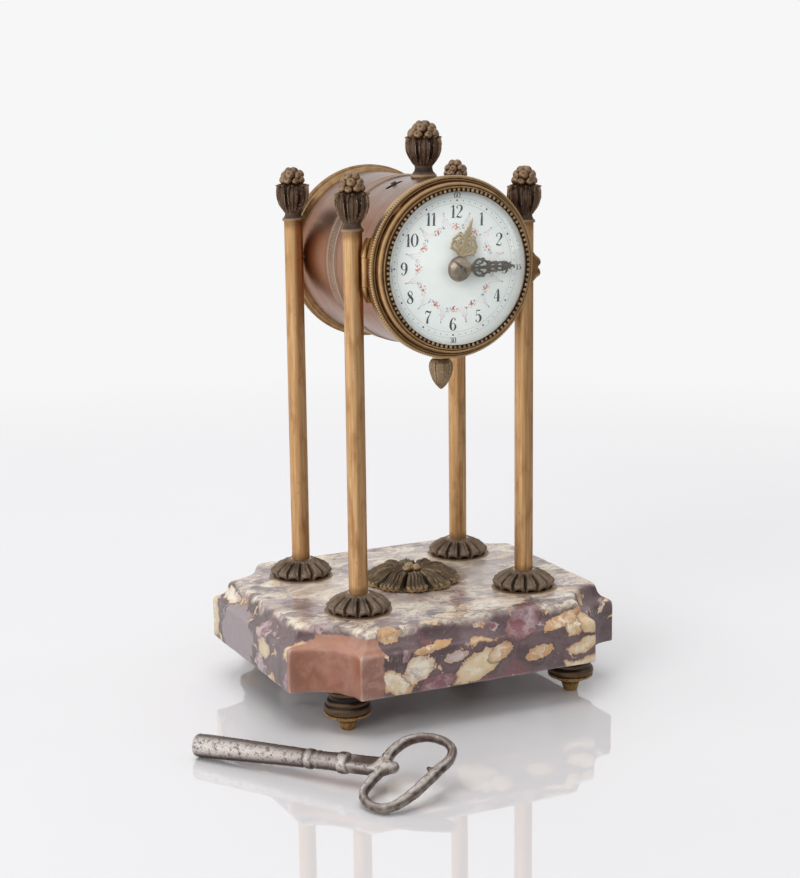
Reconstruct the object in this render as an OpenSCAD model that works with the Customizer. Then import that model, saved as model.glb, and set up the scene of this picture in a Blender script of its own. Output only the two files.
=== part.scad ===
// Four-column table clock on a marble base, with its winding key beside it.
// Millimetres. X to the right, Y to the back, Z up; the dial faces -Y.
// The origin is the centre of the base, on the table.

/* [Base] */
// Width of the marble base
base_w = 116.2; // [112:0.1:120]
// Depth of the marble base
base_d = 100.8; // [96:0.1:104]
// Height of the marble's underside above the table
base_z = 13; // [12:0.5:16]
// Height of the upright part of the marble's edge
edge_h = 14; // [12:0.5:16]
// Height of the cove round the top
cove_h = 6; // [4:0.5:7]
// Width of the cove round the top
cove_w = 6.4; // [4:0.1:7]
// Radius of the scooped corners
scoop_r = 16.7; // [12:0.1:17]
// Distance from the centre to a foot, left to right
foot_x = 40; // [39:0.5:42]
// Distance from the centre to a foot, front to back
foot_y = 36.6; // [36:0.1:38]

/* [Columns] */
// Distance from the centre to a column's axis, left to right
column_x = 29.77; // [29.7:0.01:30.5]
// Distance from the centre to a column's axis, front to back
column_y = 23.48; // [23:0.01:23.6]
// Diameter of a column
column_d = 6; // [5.6:0.1:6]
// Height of the columns' top above the table
column_top = 152.5; // [150:0.1:156]
// Diameter of the rod that ties a column to the base
rod_d = 3; // [2.5:0.1:3]
// Height of the cast rosette round a column's foot
rosette_h = 6.1; // [5.6:0.1:6.5]

/* [Drum] */
// Height of the drum's axis above the table
drum_z = 140.6; // [140:0.1:142]
// Outer radius of the drum's shell
drum_r = 26.55; // [26:0.05:26.6]
// Thickness of the shell
shell_t = 1.15; // [1:0.05:1.2]
// Distance from the middle to the shell's front edge
shell_front = 29; // [28.8:0.1:29]
// Distance from the middle to the shell's back edge
shell_back = 27; // [26.8:0.1:27.5]
// Distance from the middle forward to the finial on top
top_finial_y = 12.35; // [12:0.05:13]

/* [Bezel and dial] */
// Outer radius of the front bezel
bezel_r = 28; // [28:0.1:28.4]
// Distance from the middle forward to the dial's face
dial_y = 33.2; // [33:0.1:33.3]
// Radius of the dial
dial_r = 25; // [24.6:0.1:25]
// Radius of curvature of the domed glass
glass_curve = 51.2; // [50:0.2:54]
// Thickness of the glass
glass_t = 0.8; // [0.6:0.1:0.9]
// Number of beads round the glass
bead_count = 96; // [60:4:96]
// Length of the minute hand
minute_len = 19.5; // [18:0.5:20]
// Length of the hour hand
hour_len = 16; // [14:0.5:16]
// Angle of the hour hand, clockwise from straight up
hour_hand_angle = 19.5; // [0:0.5:30]

/* [Movement] */
// Radius of the movement's plates
plate_r = 24.6; // [24:0.1:24.8]
// Distance from the drum's axis down to the winding arbor
barrel_drop = 11.9; // [11.7:0.1:12.1]
// Angle of the regulator's slot, left of straight up
regulator_angle = 22; // [20:1:24]
// Distance from the middle forward to the regulator
regulator_y = 11.55; // [11.4:0.05:11.7]

/* [Winding key] */
// Length of the key's barrel, shank and neck, up to its bow
key_len = 63.9; // [60:0.1:66]
// Radius of the key's barrel at its open end
key_r = 3.45; // [3.2:0.05:3.45]
// Half of the bow's width, to the middle of its rod
bow_half_w = 16; // [14:0.5:17]
// Half of the bow's depth, to the middle of its rod
bow_half_d = 8.9; // [8:0.1:9.5]
// Radius of the bow's rod
bow_rod_r = 1.6; // [1.4:0.1:1.6]

/* [Hidden] */
$fn = 96;
skin = 0.01;
through = 1;
base_top = base_z + edge_h + cove_h;
cove_low = 1.16;

CORNERS = [["fl", -1, -1], ["fr", 1, -1], ["rl", -1, 1], ["rr", 1, 1]];

// Colours of the real materials
marble_colour = "#c9bbb4";
gilt_colour = "#b58a4a";
bronze_colour = "#7a5a3c";
brass_colour = "#c2a15c";
steel_colour = "#8d8a88";
enamel_colour = "#eef2f0";
glass_colour = [0.85, 0.93, 0.95, 0.35];

// Tie rods and their nuts
rod_r = rod_d / 2;
rod_clear = 0.1;
rod_bottom = base_z + 0.5;
rod_top = column_top + 2.5;
nut_r = 3.4;
nut_h = 2.6;
recess_r = 4.5;
recess_h = 4;
top_stud_r = 1.2;
top_nut_r = 2.2;
top_nut_h = 1.6;

// Feet
foot_stud_r = 1.5;
foot_stud_h = 6;

// Rosettes
rosette_r = 10.2;
plinth_r = 10.9;
plinth_h = 0.5;
centre_rosette_r = 16.4;
centre_rosette_h = 6;

// Drum and its hinges
shell_r = drum_r - shell_t;
side_screw_r = 0.8;
side_head_r = 1.4;
side_head_h = 0.9;
side_head_at = shell_r - side_head_h - 0.15;
hinge_x = -27.9;
hinge_y = -28;
knuckle_r = 1;
knuckle_bottom = drum_z - 9.6;
knuckle_low = drum_z - 4.6;
knuckle_high = drum_z + 4.2;
knuckle_top = drum_z + 10.2;
knuckle_gap = 0.15;
leaf_limit_x = -6.9;
leaf_limit_r = 22.5;
pin_half = 5.6;
pin_r = 0.5;
pin_clear = 0.05;
door_hinge_x = 29.6;
door_hinge_y = 32;
door_knuckle_r = 1.1;
door_knuckle_in = 3.2;
door_knuckle_out = 6.6;
door_y = 31.6;
door_t = 0.8;

// Bezel: the radii and forward distances of its rebate
glass_seat = 34.6;
glass_edge_r = 24.2;
glass_edge_t = 0.5;
ledge_r = 23.6;
rebate_r = 24.65;
bead_seat = 35.9;
bead_r = 0.68;

// Dial and motion work, measured forward from the middle
dial_t = 0.8;
dial_hole_r = 2.1;
dial_foot = [17, 4];
dial_foot_r = 0.8;
dial_back = dial_y - dial_t;
front_plate_f = 26.5;
front_plate_b = 25;
hour_pipe_r = 1.75;
hour_bore_r = 1.2;
cannon_pipe_r = 1.15;
arbor_r = 0.7;
hour_hand_f = 34.6;
minute_hand_f = 35.4;
hand_t = 0.32;
minute_stud_r = 0.5;
minute_stud_d = 4.8;
minute_stud_a = -30;

// Plates and train, measured forward from the middle or out from the drum's axis
back_plate_f = 15.9;
back_plate_b = 14.7;
pillar_r = 1.6;
pillar_d = 22;
pivot_r = 0.4;
pivot_clear = 0.05;
screw_r = 0.7;
centre_pivot_r = 0.9;
winding_r = 1.3;
winding_pivot_r = 0.6;
great_teeth = 60;
centre_leaves = 10;
great_m = 2 * barrel_drop / (great_teeth + centre_leaves);
centre_teeth = 56;
third_leaves = 7;
centre_m = 0.26;
third_teeth = 60;
fourth_leaves = 8;
third_m = 0.22;
fourth_teeth = 60;
fourth_m = 0.14;
third_a = 20;
third_d = centre_m * (centre_teeth + third_leaves) / 2;
third_pos = third_d * [cos(third_a), sin(third_a)];
fourth_a = 115;
fourth_d = third_m * (third_teeth + fourth_leaves) / 2;
fourth_pos = third_pos + fourth_d * [cos(fourth_a), sin(fourth_a)];
escape_pos = fourth_pos + 5.6 * [cos(50), sin(50)];
lever_pos = [2.6, 15.9];
staff_d = 11.5;
staff_pos = staff_d * [-sin(regulator_angle), cos(regulator_angle)];
barrel_pos = [0, -barrel_drop];
cannon_leaves = 12;
minute_teeth = 36;
cannon_m = 2 * minute_stud_d / (cannon_leaves + minute_teeth);
minute_leaves = 10;
hour_teeth = 40;
hour_m = 2 * minute_stud_d / (minute_leaves + hour_teeth);
minute_pos = minute_stud_d * [cos(minute_stud_a), sin(minute_stud_a)];
square_back = 6;

// Back and front of each wheel and pinion, measured forward from the middle
cannon_layer = [28.3, 29.5];
minute_layer = [28.6, 29.2];
minute_pinion_layer = [29.15, 30.8];
hour_layer = [30, 30.6];
centre_pinion_layer = [16.8, 18.2];
centre_layer = [23.8, 24.5];
third_pinion_layer = [23.5, 24.7];
third_layer = [22.3, 22.8];
fourth_pinion_layer = [22.1, 23];
fourth_layer = [20.2, 20.6];
escape_pinion_layer = [19.9, 20.9];
escape_layer = [18.2, 18.6];
lever_layer = [17.2, 17.6];
roller_layer = [17, 17.8];
balance_layer = [13.6, 14.2];
ratchet_layer = [13.6, 14.4];
cock_layer = [11.9, 12.7];
spring_layer = [12.95, 13.3];
spring_r = 3.6;
barrel_back = 17.1;
barrel_front = 23.4;
barrel_wall = 0.5;
click_pos = barrel_pos + [7.4, 2.4];
click_post_r = 0.5;
boss_r = 0.94;

// Winding key: where its open end lies, and how it is turned
key_pos = [-89.54, -37.67, 3.55];
key_yaw = -52.65;
key_pitch = 3.1;
key_twist = 20;
bow_steps = 48;
bow_sides = 10;

// Stands children on the drum's axis: local X right, local Y up, local Z forward from the middle
module from_middle(at = [0, 0], forward = 0) {
    translate([0, 0, drum_z]) rotate([90, 0, 0]) translate([at[0], at[1], forward]) children();
}

// A ring or disc between two distances forward of the middle
module disc(at, back, front, r, bore = 0) {
    from_middle(at, back) difference() {
        cylinder(h = front - back, r = r);
        if (bore > 0) translate([0, 0, -through]) cylinder(h = front - back + 2 * through, r = bore);
    }
}

// A gear's outline: short straight-sided teeth, one of them at the angle given
module gear_outline(teeth, m, angle = 0) {
    pitch = 360 / teeth;
    root = m * (teeth / 2 - 1.1);
    tip = m * (teeth / 2 + 0.7);
    corners = [[root, -0.25], [tip, -0.11], [tip, 0.11], [root, 0.25]];
    polygon([for (i = [0 : teeth - 1], c = corners)
        c[0] * [cos(angle + (i + c[1]) * pitch), sin(angle + (i + c[1]) * pitch)]]);
}

// A gear between the two distances of its layer
module gear(at, layer, teeth, m, angle, bore = 0) {
    from_middle(at, layer[0]) linear_extrude(layer[1] - layer[0]) difference() {
        gear_outline(teeth, m, angle);
        if (bore > 0) circle(bore);
    }
}

// A wheel with its middle cut away to leave a rim, a hub and five spokes
module crossed_wheel(at, layer, teeth, m, angle, rim, hub, bore) {
    spokes = 5;
    inner = m * (teeth / 2 - 1.1) - rim;
    from_middle(at, layer[0]) linear_extrude(layer[1] - layer[0]) {
        difference() {
            gear_outline(teeth, m, angle);
            circle(inner);
        }
        difference() {
            union() {
                circle(hub);
                for (i = [0 : spokes - 1]) rotate(i * 360 / spokes) translate([0, -rim / 2])
                    square([inner + rim / 2, rim]);
            }
            circle(bore);
        }
    }
}

// A flat spiral strip from radius r1 to r2
module spiral_strip(r1, r2, turns, t, h) {
    steps = turns * 18;
    function at(i, out) = (r1 + (r2 - r1) * i / steps + out) * [cos(i * 20), sin(i * 20)];
    linear_extrude(h) polygon(concat(
        [for (i = [0 : steps]) at(i, 0)],
        [for (i = [steps : -1 : 0]) at(i, t)]));
}

module at_corner(c, x, y) {
    translate([c[1] * x, c[2] * y, 0]) children();
}

// Outline of the cove, from its foot on the upright face to the top: distance inwards, height over the top
function cove() = [for (p = [
    [0, -cove_low], [0.04, -1.06], [0.12, -0.99], [0.28, -0.9], [0.48, -0.75], [0.6, -0.55],
    [0.67, -0.3], [0.75, -0.12], [0.86, -0.03], [1, 0]]) [p[0] * cove_w, p[1] * cove_h]];

module cove_prism(half, length) {
    rotate([90, 0, 0]) linear_extrude(length, center = true) polygon(concat(
        [[half + 1, base_top - cove_low * cove_h]],
        [for (p = cove()) [half - p[0], base_top + p[1]]],
        [[half - cove_w, base_top + 1], [half + 1, base_top + 1]]));
}

module marble_base() {
    color(marble_colour) difference() {
        translate([-base_w / 2, -base_d / 2, base_z]) cube([base_w, base_d, edge_h + cove_h]);
        for (turn = [0, 180]) rotate(turn) {
            cove_prism(base_w / 2, base_d + 2 * through);
            rotate(90) cove_prism(base_d / 2, base_w + 2 * through);
        }
        for (c = CORNERS) {
            at_corner(c, base_w / 2, base_d / 2) translate([0, 0, base_z - through])
                cylinder(h = edge_h + cove_h + 2 * through, r = scoop_r);
            at_corner(c, base_w / 2, base_d / 2) rotate_extrude() polygon(concat(
                [[0, base_top - cove_low * cove_h]],
                [for (p = cove()) [scoop_r + p[0], base_top + p[1]]],
                [[scoop_r + cove_w, base_top + 1], [0, base_top + 1]]));
            at_corner(c, column_x, column_y) translate([0, 0, base_z - through]) {
                cylinder(h = edge_h + cove_h + 2 * through, r = rod_r + rod_clear);
                cylinder(h = recess_h + through, r = recess_r);
            }
            at_corner(c, foot_x, foot_y) translate([0, 0, base_z - through])
                cylinder(h = foot_stud_h + 1.5 * through, r = foot_stud_r + rod_clear);
        }
        translate([0, 0, base_z - through]) {
            cylinder(h = edge_h + cove_h + 2 * through, r = rod_r + rod_clear);
            cylinder(h = recess_h + through, r = recess_r);
        }
    }
}

// Turned foot: tapered tip, thin flange, beaded ring, wide disc, stepped neck and a stud
module foot(c) {
    color(bronze_colour) at_corner(c, foot_x, foot_y) rotate_extrude() polygon(concat(
        [[0, 0], [2.1, 0], [2.35, 0.3], [3.3, 3.7], [4.9, 3.9], [5.1, 4.3]],
        [[6.3, 4.6], [6.9, 5.3], [7.2, 5.9], [7.5, 6.8], [7.5, 8.6], [7.1, 9.6], [6.2, 10.2]],
        [[5.6, 10.4], [5.6, 11.6], [6.4, 12.1], [6.5, base_z]],
        [[foot_stud_r, base_z], [foot_stud_r, base_z + foot_stud_h], [0, base_z + foot_stud_h]]));
}

module rosette(c) {
    bore = rod_r + rod_clear;
    color(bronze_colour) at_corner(c, column_x, column_y) translate([0, 0, base_top])
        rotate_extrude() polygon([
            [bore, 0], [plinth_r, 0], [plinth_r, plinth_h], [rosette_r, plinth_h], [rosette_r - 0.1, 2.2],
            [9, 3.6], [6.8, 4.9], [4.4, rosette_h], [bore, rosette_h]]);
}

module column(c) {
    bottom = base_top + rosette_h;
    bore = rod_r + 0.2;
    color(gilt_colour) difference() {
        at_corner(c, column_x, column_y) difference() {
            translate([0, 0, bottom]) cylinder(h = column_top - bottom, d = column_d);
            translate([0, 0, bottom - through]) cylinder(h = column_top - bottom + 2 * through, r = bore);
        }
        translate([c[1] * (drum_r - 1), c[2] * column_y, drum_z]) rotate([0, c[1] * 90, 0])
            cylinder(h = column_x - drum_r, r = side_screw_r + pin_clear);
    }
}

// Flower-bud finial: collar, waist, leafy bud and a cluster of berries, as one turned outline
module column_finial(c) {
    color(bronze_colour) at_corner(c, column_x, column_y) translate([0, 0, column_top]) difference() {
        rotate_extrude() polygon([
            [0, 0], [3.5, 0], [3.5, 0.8], [2.9, 1.4], [2.65, 2.3], [2.8, 3.4], [3.8, 4.7], [4.7, 6.2],
            [5.3, 7.8], [5.45, 9], [5.35, 10.2], [4.9, 11.8], [4.55, 13], [4.5, 14.6], [3.4, 16.2],
            [2.1, 17.5], [0, 17.9]]);
        translate([0, 0, -through]) cylinder(h = rod_top - column_top + 1.5 * through, r = rod_r + rod_clear);
    }
}

module drum_finial() {
    top = drum_z + drum_r;
    color(bronze_colour) difference() {
        translate([0, -top_finial_y, top]) rotate_extrude() polygon([
            [0, -4.6], [top_stud_r, -4.6], [top_stud_r, -0.6], [4, -0.6], [4.05, 0.8], [3.3, 1.8],
            [2.8, 3.1], [3.2, 4.2], [4.8, 6.2], [5.7, 8.4], [5.75, 10], [5.2, 12.3], [4.3, 13.8],
            [4.1, 15.2], [3, 17], [1.2, 18], [0, 18.1]]);
        difference() {
            disc([0, 0], top_finial_y - 5, top_finial_y + 5, drum_r + skin);
            translate([0, -top_finial_y, top - 6]) cylinder(h = 8, r = top_stud_r + skin);
        }
    }
}

module tie_rods() {
    color(steel_colour) {
        for (c = CORNERS) at_corner(c, column_x, column_y) translate([0, 0, rod_bottom])
            cylinder(h = rod_top - rod_bottom, r = rod_r);
        translate([0, 0, rod_bottom]) cylinder(h = base_top + 3 - rod_bottom, r = rod_r);
    }
}

module hex_nut(r, h, bore) {
    difference() {
        cylinder(h = h, r = r, $fn = 6);
        translate([0, 0, -through]) cylinder(h = h + 2 * through, r = bore);
    }
}

// Nuts of the five tie rods, under the marble, and the nut that holds the drum's finial
module nuts() {
    nut_z = base_z + recess_h - nut_h;
    color(steel_colour) {
        for (c = CORNERS) at_corner(c, column_x, column_y) translate([0, 0, nut_z])
            hex_nut(nut_r, nut_h, rod_r + skin);
        translate([0, 0, nut_z]) hex_nut(nut_r, nut_h, rod_r + skin);
        translate([0, -top_finial_y, drum_z + shell_r - 0.15 - top_nut_h])
            hex_nut(top_nut_r, top_nut_h, top_stud_r + skin);
    }
}

module centre_rosette() {
    color(bronze_colour) translate([0, 0, base_top]) difference() {
        rotate_extrude() polygon([
            [0, 0], [centre_rosette_r, 0], [centre_rosette_r, 1.4], [14.4, 2.9], [10.5, 4], [7, 4.4],
            [5, 5.2], [3.2, centre_rosette_h], [0, centre_rosette_h]]);
        translate([0, 0, -through]) cylinder(h = 3 + 1.5 * through, r = rod_r + rod_clear);
    }
}

// Drop under the drum: a short neck and a bud wrapped in leaves, pointing down
module leaf_pendant() {
    bud_y = 23.4;
    neck_r = 2.8;
    bud_h = 11.5;
    color(bronze_colour) translate([0, -bud_y, drum_z - drum_r - 1.2]) difference() {
        rotate_extrude() polygon([
            [0, 1.5], [neck_r, 1.5], [neck_r, -1.4], [3.4, -2.1], [3.8, -3.1], [3.95, -4.2],
            [3.85, -5.3], [3.5, -6.7], [3, -8], [2.35, -9.2], [1.4, -10.4], [0.6, 0.2 - bud_h], [0, -bud_h]]);
        translate([0, bud_y, 1.2 + drum_r]) rotate([90, 0, 0])
            cylinder(h = bud_y + 10, r = drum_r + skin);
    }
}

// Tube with a shoulder for the movement, holes for its screws and finial, and the regulator's slot
module drum_shell() {
    shoulder_r = 24.9;
    slot_half = 4.3;
    slot_w = 2.2;
    color(gilt_colour) difference() {
        union() {
            disc([0, 0], -shell_back, shell_front, drum_r, shell_r);
            disc([0, 0], front_plate_b - 1.5, front_plate_b, shell_r + skin, shoulder_r);
        }
        for (c = CORNERS) translate([c[1] * (shell_r - 2), c[2] * column_y, drum_z])
            rotate([0, c[1] * 90, 0]) {
                cylinder(h = 4, r = side_screw_r + pin_clear);
                cylinder(h = 1.9, r = side_head_r + 0.2);
            }
        translate([0, -top_finial_y, drum_z + shell_r - 2]) cylinder(h = 6, r = top_stud_r + pin_clear);
        for (a = [-slot_half, slot_half]) from_middle([0, 0], regulator_y) rotate(regulator_angle + a)
            translate([0, shell_r - 0.6, 0]) rotate([-90, 0, 0]) cylinder(h = 3, d = slot_w);
        from_middle([0, 0], regulator_y - slot_w / 2) linear_extrude(slot_w) polygon([
            [0, 0],
            for (a = [-slot_half, slot_half]) 30 * [-sin(regulator_angle + a), cos(regulator_angle + a)]]);
    }
}

module milled_band() {
    color(gilt_colour) disc([0, 0], -3, 2.2, drum_r + 0.4, drum_r);
}

// Screws that hold the drum to the columns, driven from inside the drum
module drum_screws() {
    color(steel_colour) for (c = CORNERS) translate([c[1] * side_head_at, c[2] * column_y, drum_z])
        rotate([0, c[1] * 90, 0]) {
            cylinder(h = side_head_h, r = side_head_r);
            cylinder(h = column_x - rod_r - 0.3 - side_head_at, r = side_screw_r);
        }
}

module knuckle(x, y, r, low, high) {
    translate([x, y, low]) cylinder(h = high - low, r = r);
}

// Fixed half of the bezel's hinge: two knuckles and their webs, trimmed to the curve of the drum
module hinge_leaf() {
    web_y = 1.4;
    color(gilt_colour) difference() {
        intersection() {
            union() {
                for (z = [[knuckle_bottom, knuckle_low - knuckle_gap], [knuckle_high + knuckle_gap, knuckle_top]]) {
                    knuckle(hinge_x, hinge_y, knuckle_r, z[0], z[1]);
                    translate([hinge_x, hinge_y - 0.8, z[0]]) cube([4, web_y, z[1] - z[0]]);
                }
            }
            disc([leaf_limit_x, 0], shell_front - 8, shell_front + 2, leaf_limit_r);
        }
        knuckle(hinge_x, hinge_y, pin_r + skin, drum_z - pin_half - skin, drum_z + pin_half + skin);
        disc([0, 0], shell_front - 8, shell_front + 2, drum_r + skin);
    }
}

// Pins of the bezel's hinge and of the back door's hinge
module hinge_pins() {
    color(gilt_colour) {
        knuckle(hinge_x, hinge_y, pin_r, drum_z - pin_half, drum_z + pin_half);
        knuckle(door_hinge_x, door_hinge_y, pin_r, drum_z - door_knuckle_out, drum_z + door_knuckle_out);
    }
}

// Cast bezel: milled edge, ring, wide ogee, fillet and the rebate for glass and beads
module front_bezel() {
    color(gilt_colour) difference() {
        union() {
            from_middle() rotate_extrude() polygon([
                [26.9, 29.3], [bezel_r, 29.3], [bezel_r, 31.9], [27.7, 32.3], [27.3, 32.4], [27.2, 32.15],
                [27.1, 32.3], [27, 32.65], [26.75, 32.65], [26.6, 32.4], [26.4, 32.4], [26.25, 33],
                [26.15, 33.9], [25.8, 34.5], [25.4, 34.65], [25.15, 34.35], [25, 34.4], [24.95, 35.3],
                [rebate_r, 35.4],
                [rebate_r, glass_seat], [ledge_r, glass_seat], [ledge_r, 34.1], [25.1, 33.6], [25.7, 33.3],
                [25.85, 31.7], [26.9, 31.4]]);
            knuckle(hinge_x, hinge_y, knuckle_r, knuckle_low, knuckle_high);
            translate([-28.4, -30.2, knuckle_low]) cube([1.3, 2, knuckle_high - knuckle_low]);
        }
        knuckle(hinge_x, hinge_y, pin_r + pin_clear, knuckle_low - 1, knuckle_high + 1);
    }
}

module bead_ring() {
    ring_r = 24;
    color(brass_colour) {
        disc([0, 0], bead_seat, bead_seat + 0.4, rebate_r - skin, 23.4);
        disc([0, 0], glass_seat, bead_seat + 0.1, rebate_r - skin, glass_edge_r + 0.1);
        for (i = [0 : bead_count - 1]) from_middle([0, 0], bead_seat + 0.4) rotate(i * 360 / bead_count)
            translate([ring_r, 0, 0]) cylinder(h = 0.5, r = bead_r);
    }
}

// Domed glass, cut from two spheres on one centre
module glass() {
    inner = glass_curve - glass_t;
    centre = glass_seat + glass_edge_t - sqrt(glass_curve * glass_curve - glass_edge_r * glass_edge_r);
    color(glass_colour) from_middle([0, 0], centre) intersection() {
        difference() {
            sphere(r = glass_curve);
            sphere(r = inner);
        }
        translate([0, 0, glass_seat - centre]) cylinder(h = 20, r = glass_edge_r);
    }
}

// Thumb catch: a flat plate with two lobes, at three o'clock on the bezel
module bezel_catch() {
    back = 29.5;
    front = 30.4;
    color(gilt_colour) difference() {
        from_middle([0, 0], back) linear_extrude(front - back) polygon([
            [27, 4.6], [28.4, 4], [29.5, 2.75], [30.5, 1.75], [31.4, 1], [31.85, 0.1], [31.7, -0.75],
            [30.9, -1.7], [31.5, -2.5], [31.8, -3.5], [31.45, -4.3], [30.6, -4.85], [29.6, -5.7],
            [28.5, -6.7], [27, -7.2]]);
        disc([0, 0], back - 1, front + 1, bezel_r + skin);
    }
}

// Moulded ring that closes the drum's back, with the fixed knuckles of the door's hinge
module rear_ring() {
    knuckle_h = door_knuckle_out - door_knuckle_in;
    color(gilt_colour) difference() {
        union() {
            from_middle() rotate_extrude() polygon([
                [24.4, -25.2], [shell_r - skin, -25.2], [shell_r - skin, -shell_back], [26.6, -shell_back],
                [27.3, -27.5], [27.9, -28.1], [28, -28.7], [27.5, -29], [27.5, -29.3], [28.3, -29.6],
                [28.7, -30.1], [28.7, -30.9], [28.2, -31.5], [24.4, -31.5]]);
            for (low = [drum_z - door_knuckle_out, drum_z + door_knuckle_in]) {
                knuckle(door_hinge_x, door_hinge_y, door_knuckle_r, low, low + knuckle_h);
                translate([27.95, 30, low]) cube([2, 1.45, knuckle_h]);
            }
        }
        knuckle(door_hinge_x, door_hinge_y, pin_r + skin, drum_z - 8, drum_z + 8);
    }
}

module rear_door() {
    knob_at = [-20, 0];
    half_h = door_knuckle_in - 0.2;
    color(gilt_colour) difference() {
        union() {
            disc([0, 0], -door_y - door_t, -door_y, 27.6);
            disc([0, 0], -door_y - door_t - 0.5, -door_y - door_t, 24.5);
            disc([0, 0], -door_y, 0.5 - door_y, 24.2, 23);
            disc(knob_at, -door_y - 3.4, -door_y - door_t - 0.4, 1);
            disc(knob_at, -door_y - 5, -door_y - 3.3, 2.1);
            knuckle(door_hinge_x, door_hinge_y, door_knuckle_r, drum_z - half_h, drum_z + half_h);
            translate([26.4, door_y, drum_z - half_h]) cube([3.2, door_t, 2 * half_h]);
        }
        knuckle(door_hinge_x, door_hinge_y, pin_r + pin_clear, drum_z - 4, drum_z + 4);
    }
}

module dial_ring() {
    color(brass_colour) disc([0, 0], front_plate_f, dial_back, shell_r - 0.05, 24.2);
}

// Enamelled dial with its two feet, which pass through the front plate
module dial() {
    color(enamel_colour) {
        disc([0, 0], dial_back, dial_y, dial_r, dial_hole_r);
        for (side = [-1, 1])
            disc([side * dial_foot[0], dial_foot[1]], front_plate_b - 1, dial_back + 0.1, dial_foot_r);
    }
}

module hour_hand() {
    color(brass_colour) from_middle([0, 0], hour_hand_f) rotate(-hour_hand_angle) difference() {
        union() {
            cylinder(h = hand_t, r = 2.7);
            linear_extrude(hand_t) polygon([
                [-1.1, 2], [-1.2, 3.7], [-4.9, 5.3], [-4.5, 7.2], [-3.4, 8.8], [-1.5, 9.3], [-1.2, 9.9],
                [-0.2, hour_len],
                [0.2, hour_len],
                [1.2, 9.9], [1.5, 9.3], [3.4, 8.8], [4.5, 7.2], [4.9, 5.3], [1.2, 3.7], [1.1, 2]]);
        }
        translate([0, 0, -through]) cylinder(h = 2 * through + hand_t, r = hour_pipe_r);
    }
}

module minute_hand() {
    color(steel_colour) from_middle([0, 0], minute_hand_f) rotate(-90) difference() {
        union() {
            cylinder(h = hand_t, r = 2.2);
            linear_extrude(hand_t) polygon([
                [-0.9, 1.6], [-1, 5], [-2.3, 7], [-2.3, 8.2], [-1.5, 9.8], [-1.2, 13], [-1.3, 16], [-0.4, 17.6],
                [-0.15, minute_len],
                [0.15, minute_len],
                [0.4, 17.6], [1.3, 16], [1.2, 13], [1.5, 9.8], [2.3, 8.2], [2.3, 7], [1, 5], [0.9, 1.6]]);
        }
        translate([0, 0, -through]) cylinder(h = 2 * through + hand_t, r = cannon_pipe_r);
    }
}

// Domed nut with a slot across it
module hand_nut() {
    nut_back = minute_hand_f + hand_t + 0.02;
    nut_front = 38.6;
    color(steel_colour) difference() {
        from_middle() rotate_extrude() polygon([
            [arbor_r, nut_back], [3.7, nut_back], [3.9, nut_back + 0.4], [3.5, 37.2], [2.4, 38.1],
            [1.1, nut_front], [arbor_r, nut_front]]);
        from_middle([0, 0], nut_front - 0.9) rotate(-50) translate([-5, -0.3, 0]) cube([10, 0.6, 2]);
    }
}

module cannon_pinion() {
    color(steel_colour) {
        gear([0, 0], cannon_layer, cannon_leaves, cannon_m, minute_stud_a, arbor_r);
        disc([0, 0], cannon_layer[1] - 0.05, minute_hand_f + hand_t, cannon_pipe_r, arbor_r);
    }
}

module minute_wheel() {
    bore = minute_stud_r + pivot_clear;
    half_tooth = 180 / minute_teeth;
    color(brass_colour) {
        gear(minute_pos, minute_layer, minute_teeth, cannon_m, minute_stud_a + 180 + half_tooth, bore);
        gear(minute_pos, minute_pinion_layer, minute_leaves, hour_m, minute_stud_a + 180, bore);
    }
}

module hour_wheel() {
    color(brass_colour) {
        gear([0, 0], hour_layer, hour_teeth, hour_m, minute_stud_a + 180 / hour_teeth, hour_bore_r);
        disc([0, 0], hour_layer[1] - 0.05, hour_hand_f + hand_t, hour_pipe_r, hour_bore_r);
    }
}

module hole(at, r) {
    from_middle(at, back_plate_b - 5) cylinder(h = 30, r = r);
}

module at_pillars() {
    for (a = [90, 210, 330]) from_middle(pillar_d * [cos(a), sin(a)]) children();
}

// Plate that carries the front pivots, the stud of the minute wheel and the dial's feet
module front_plate() {
    color(brass_colour) {
        difference() {
            disc([0, 0], front_plate_b, front_plate_f, shell_r - 0.05);
            hole([0, 0], arbor_r + pivot_clear);
            for (at = [third_pos, fourth_pos, escape_pos, lever_pos, staff_pos])
                hole(at, pivot_r + pivot_clear);
            hole(barrel_pos, winding_pivot_r + pivot_clear);
            for (side = [-1, 1]) hole([side * dial_foot[0], dial_foot[1]], dial_foot_r + pivot_clear);
            at_pillars() translate([0, 0, front_plate_b - 1]) cylinder(h = 4, r = screw_r + pivot_clear);
        }
        disc(minute_pos, front_plate_f - 0.5, 31, minute_stud_r);
        disc(minute_pos, front_plate_f - 0.1, minute_layer[0] - 0.2, 0.9);
    }
}

// Plate that carries the back pivots and the post of the click
module back_plate() {
    color(brass_colour) {
        difference() {
            disc([0, 0], back_plate_b, back_plate_f, plate_r);
            hole([0, 0], centre_pivot_r + pivot_clear);
            for (at = [third_pos, fourth_pos, escape_pos, lever_pos]) hole(at, pivot_r + pivot_clear);
            hole(staff_pos, 1.4);
            hole(barrel_pos, winding_r + pivot_clear);
            at_pillars() translate([0, 0, back_plate_b - 1]) cylinder(h = 4, r = screw_r + pivot_clear);
        }
        disc(click_pos, ratchet_layer[0] - 0.2, back_plate_b + 0.1, click_post_r);
    }
}

module pillars() {
    color(brass_colour) at_pillars() difference() {
        translate([0, 0, back_plate_f]) cylinder(h = front_plate_b - back_plate_f, r = pillar_r);
        for (z = [back_plate_f - through, front_plate_b - 3]) translate([0, 0, z])
            cylinder(h = 3 + through, r = screw_r + pivot_clear);
    }
}

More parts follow.
